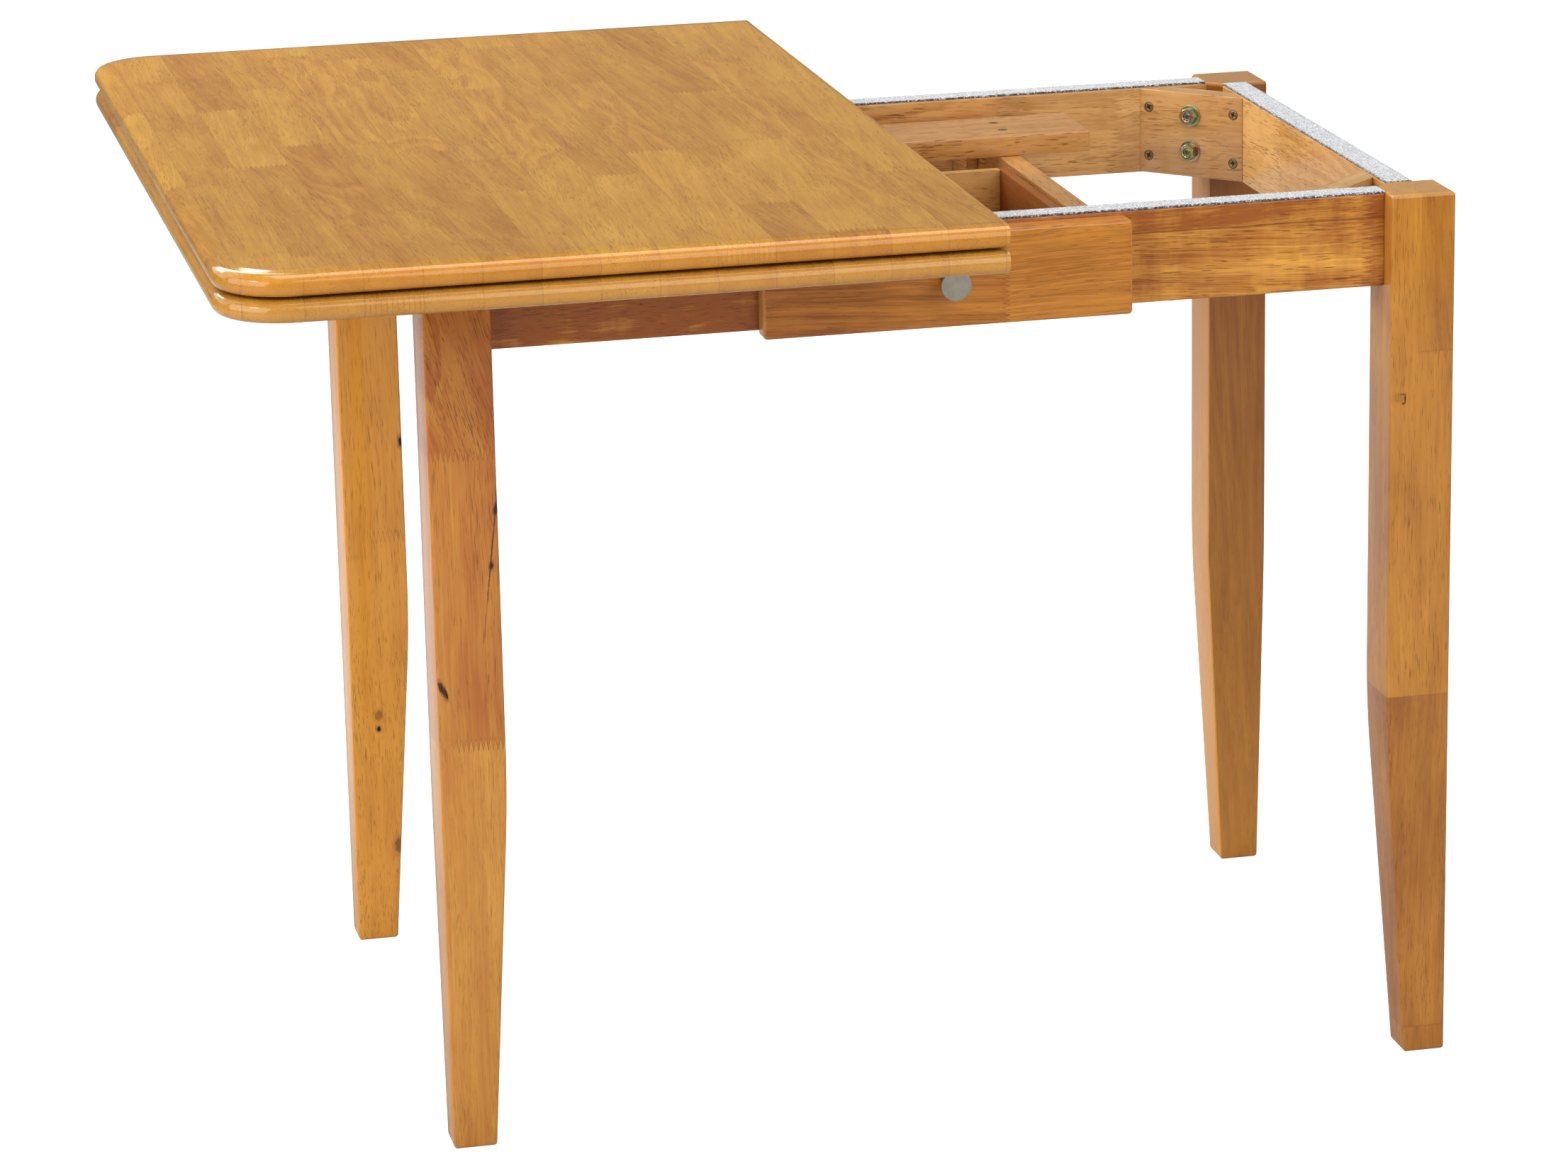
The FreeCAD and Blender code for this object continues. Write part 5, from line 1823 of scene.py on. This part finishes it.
@dataclass
class Drawer(Assembly):
    """The drawer: a thick front, thin box sides, a panel, a turn button and a round knob."""

    body: str = "drawer"
    half_front: float = 146.0
    front: float = -268.0
    inside: float = -250.0
    low: float = 632.0
    high: float = 706.7
    front_ease: float = 3.0
    box_ease: float = 0.7
    panel_ease: float = 0.3
    button_ease: float = 1.5
    knob_height: float = 669.35
    shaft: float = 1.9

    def front_shell(self) -> Shell:
        """The front: a board on its inner face, with well rounded outer arrises.

        Returns:
            The front's shell.
        """
        shell = Shell(Placing((FRAME_X, self.inside, 0), EAST, UP, SOUTH))
        corners = rectangle(-self.half_front, self.half_front, self.low, self.high)
        shell.board(corners, self.front_ease + 0.2,
                    eased(self.inside - self.front, 0.8, self.front_ease, 7), 7)
        return shell

    def knob(self) -> Shell:
        """The knob: foot, waist and disc, turned about the axis out of the front.

        Returns:
            The knob's shell.
        """
        shell = Shell(Placing((FRAME_X, self.front, self.knob_height), EAST, UP, SOUTH))
        waist = [[7.0 - 2.5 * (1 - c), 2.0 + 3.0 * s] for c, s in arc(0, 90, 6)]
        flare = [[4.5 + 7.1 * (1 - c), 16.0 + 2.5 * s] for c, s in arc(0, 90, 6)]
        face = [[12.0 - 0.5 * (1 - c), 21.3 + 0.7 * s] for c, s in arc(0, 90, 5)]
        profile = [[0, 0], [6.6, 0], [7, 0.3], [7, 1.6], *waist, *flare, [12.0, 18.8], *face,
                   [10.5, 22.0], [0, 22.0]]
        shell.lathe(profile, 64)
        return shell

    def build(self) -> None:
        """Makes the drawer."""
        front = Timber("drawer_front_wood", run=Run.X_UPRIGHT, light=(218, 142, 54),
                       dark=(150, 84, 28), cuts=(Cut(0.1312, -0.24, 0.006),), base_tone=0.54,
                       seed=52.0, pores=0.7, streak=0.5, figure=0.1, joint=0.6, warm=0.1,
                       coat_rough=0.16).make()
        self.settle(self.front_shell(), "drawer_face", "drawer_wood", front, "drawer_front")
        side = Timber("drawer_side_wood", run=Run.Y_UPRIGHT, light=(156, 98, 52),
                      dark=(108, 60, 28), seed=57.0, coat=0.4, coat_rough=0.3).make()
        back = Timber("drawer_back_wood", run=Run.X_UPRIGHT, light=(216, 170, 104),
                      dark=(180, 128, 70), seed=59.0, coat=0.4, coat_rough=0.3).make()
        for name in ("left", "right"):
            node = "drawer_side_" + name
            self.settle(slab(node, self.box_ease), name + "_drawer_side", "drawer_wood", side,
                        node)
        self.settle(slab("drawer_back", self.box_ease), "drawer_back_board", "drawer_wood", back,
                    "drawer_back")
        panel = Timber("drawer_panel_wood", run=Run.Y_FLAT, light=(212, 172, 120),
                       dark=(190, 144, 92), seed=61.0, pores=0.6, coat=0.2,
                       coat_rough=0.4).make()
        self.settle(slab("drawer_bottom", self.panel_ease), "drawer_panel", "drawer_panel", panel,
                    "drawer_bottom")
        self.settle(slab("drawer_turn_button", self.button_ease), "drawer_stop_button",
                    "drawer_wood", back, "drawer_turn_button")
        zinc = Metal("drawer_screw_zinc", (200, 186, 132), (182, 168, 112), 0.28, 0.1).make()
        low, high = cad_box("drawer_turn_button")
        screw = Shell(Placing((FRAME_X, high[1], (low[2] + high[2]) / 2), WEST, UP, NORTH))
        Fasteners.screw_head(screw, 0, 0, 3.6, 30)
        self.settle(screw, "drawer_button_screw", "yellow_zinc", zinc, crease=SCREW_CREASE)
        nickel = Metal("satin_nickel_knob", (188, 180, 164), (170, 162, 148), 0.34).make()
        self.settle(self.knob(), "drawer_round_knob", "satin_nickel", nickel, "drawer_knob",
                    crease=30.0)
        low, high = cad_box("drawer_knob_screw")
        reach, wide = high[1] - low[1], (high[0] - low[0]) / 2
        bolt = Shell(Placing((FRAME_X, low[1], self.knob_height), WEST, UP, NORTH))
        bolt.lathe([[0, 0], [self.shaft, 0], [self.shaft, reach - 2.4], [wide, reach - 2.4],
                    [wide, reach - 1.0], [wide * 0.8, reach - 0.3], [wide * 0.3, reach],
                    [0, reach]])
        self.settle(bolt, "knob_screw", "yellow_zinc", zinc, "drawer_knob_screw")


# ---------------------------------------------------------------- room

@dataclass(frozen=True)
class Studio:
    """Pale floor, soft lights and the camera."""

    eye: Point = (-0.92310, -4.21701, 1.60091)
    azimuth: float = -0.21801
    elevation: float = 0.28055
    roll: float = -0.02059
    lens: float = 125.33
    target: Point = (0.0, 0.0, 0.5)
    floor_half: float = 40.0
    lamps: tuple = (("key", 26, 24, 3.2, (3.0, 2.2), 49),
                    ("left_wall", -66, 16, 3.0, (3.2, 2.0), 54),
                    ("sparkle", -58, 30, 3.0, (0.5, 0.3), 4),
                    ("back_left", -130, 35, 3.0, (3.0, 2.2), 31),
                    ("overhead", 0, 86, 3.0, (2.0, 2.0), 53),
                    ("floor_glow", -149, 35, 2.0, (1.2, 1.2), 22, True))

    def camera(self) -> None:
        """Places the camera: its back axis by azimuth and elevation, then rolled."""
        az, el, roll = self.azimuth, self.elevation, self.roll
        back = Vector((math.sin(az) * math.cos(el), -math.cos(az) * math.cos(el), math.sin(el)))
        right = Vector((math.cos(az), math.sin(az), 0.0))
        up = back.cross(right)
        across = math.cos(roll) * right + math.sin(roll) * up
        above = math.cos(roll) * up - math.sin(roll) * right
        data = bpy.data.cameras.new("view")
        data.lens, data.sensor_width, data.clip_end = self.lens, 36.0, 100.0
        camera = bpy.data.objects.new("view", data)
        matrix = Matrix((across, above, back)).transposed().to_4x4()
        matrix.translation = self.eye
        camera.matrix_world = matrix
        bpy.context.scene.collection.objects.link(camera)
        bpy.context.scene.camera = camera

    def softbox(self, name: str, azimuth: float, elevation: float, distance: float,
                size: tuple[float, float], power: float, face_down: bool = False) -> None:
        """Places an area light by its bearing from the front.

        Args:
            name: Light name.
            azimuth: Bearing from the front towards the right, in degrees.
            elevation: Height angle seen from the target, in degrees.
            distance: Distance from the target.
            size: Width and height.
            power: Power in watts.
            face_down: Lights the floor below it instead of the target.
        """
        turn, rise = math.radians(azimuth), math.radians(elevation)
        way = Vector((math.sin(turn) * math.cos(rise), -math.cos(turn) * math.cos(rise),
                      math.sin(rise)))
        data = bpy.data.lights.new(name, "AREA")
        data.shape, data.size, data.size_y = "RECTANGLE", *size
        data.energy = power
        light = bpy.data.objects.new(name, data)
        light.location = Vector(self.target) + way * distance
        if not face_down:
            light.rotation_euler = way.to_track_quat("Z", "Y").to_euler()
        bpy.context.scene.collection.objects.link(light)

    def floor(self) -> None:
        """Makes the plain pale floor."""
        mesh = bpy.data.meshes.new("floor")
        flat = rectangle(-self.floor_half, self.floor_half, -self.floor_half, self.floor_half)
        mesh.from_pydata([(x, y, 0.0) for x, y in flat.tolist()], [], [(0, 1, 2, 3)])
        floor = bpy.data.objects.new("floor", mesh)
        bpy.context.scene.collection.objects.link(floor)
        material, g, shader = start_material("floor_white")
        g.fill(shader, {"Base Color": (0.5, 0.5, 0.5, 1.0), "Roughness": 0.9,
                        "Emission Color": WHITE, "Emission Strength": g.camera_ray()})
        mesh.materials.append(material)

    def build(self) -> None:
        """Sets up the room."""
        bpy.context.scene.view_settings.view_transform = "Standard"
        self.camera()
        self.floor()
        for lamp in self.lamps:
            self.softbox(*lamp)
        world = bpy.data.worlds.new("studio")
        world.use_nodes = True
        g = Graph(world.node_tree)
        g.fill(world.node_tree.nodes["Background"],
               {"Color": WHITE, "Strength": g.range(g.camera_ray(), 0.0, 1.0, 0.2, 1.0)})
        bpy.context.scene.world = world


def main() -> None:
    """Builds the table's sub-assemblies in order, then the room, and reports each piece."""
    logging.basicConfig(level=logging.INFO, format="%(message)s")
    for make in (make_block_group, make_joint_group, make_grain_group, make_metal_group):
        make()
    for assembly in (Legs(), Rails(), CornerBlocks(), InnerFrame(), Top(), Drawer()):
        assembly.build()
        assembly.report()
    Studio().build()
    bpy.context.view_layer.update()


if __name__ == "__main__":
    main()
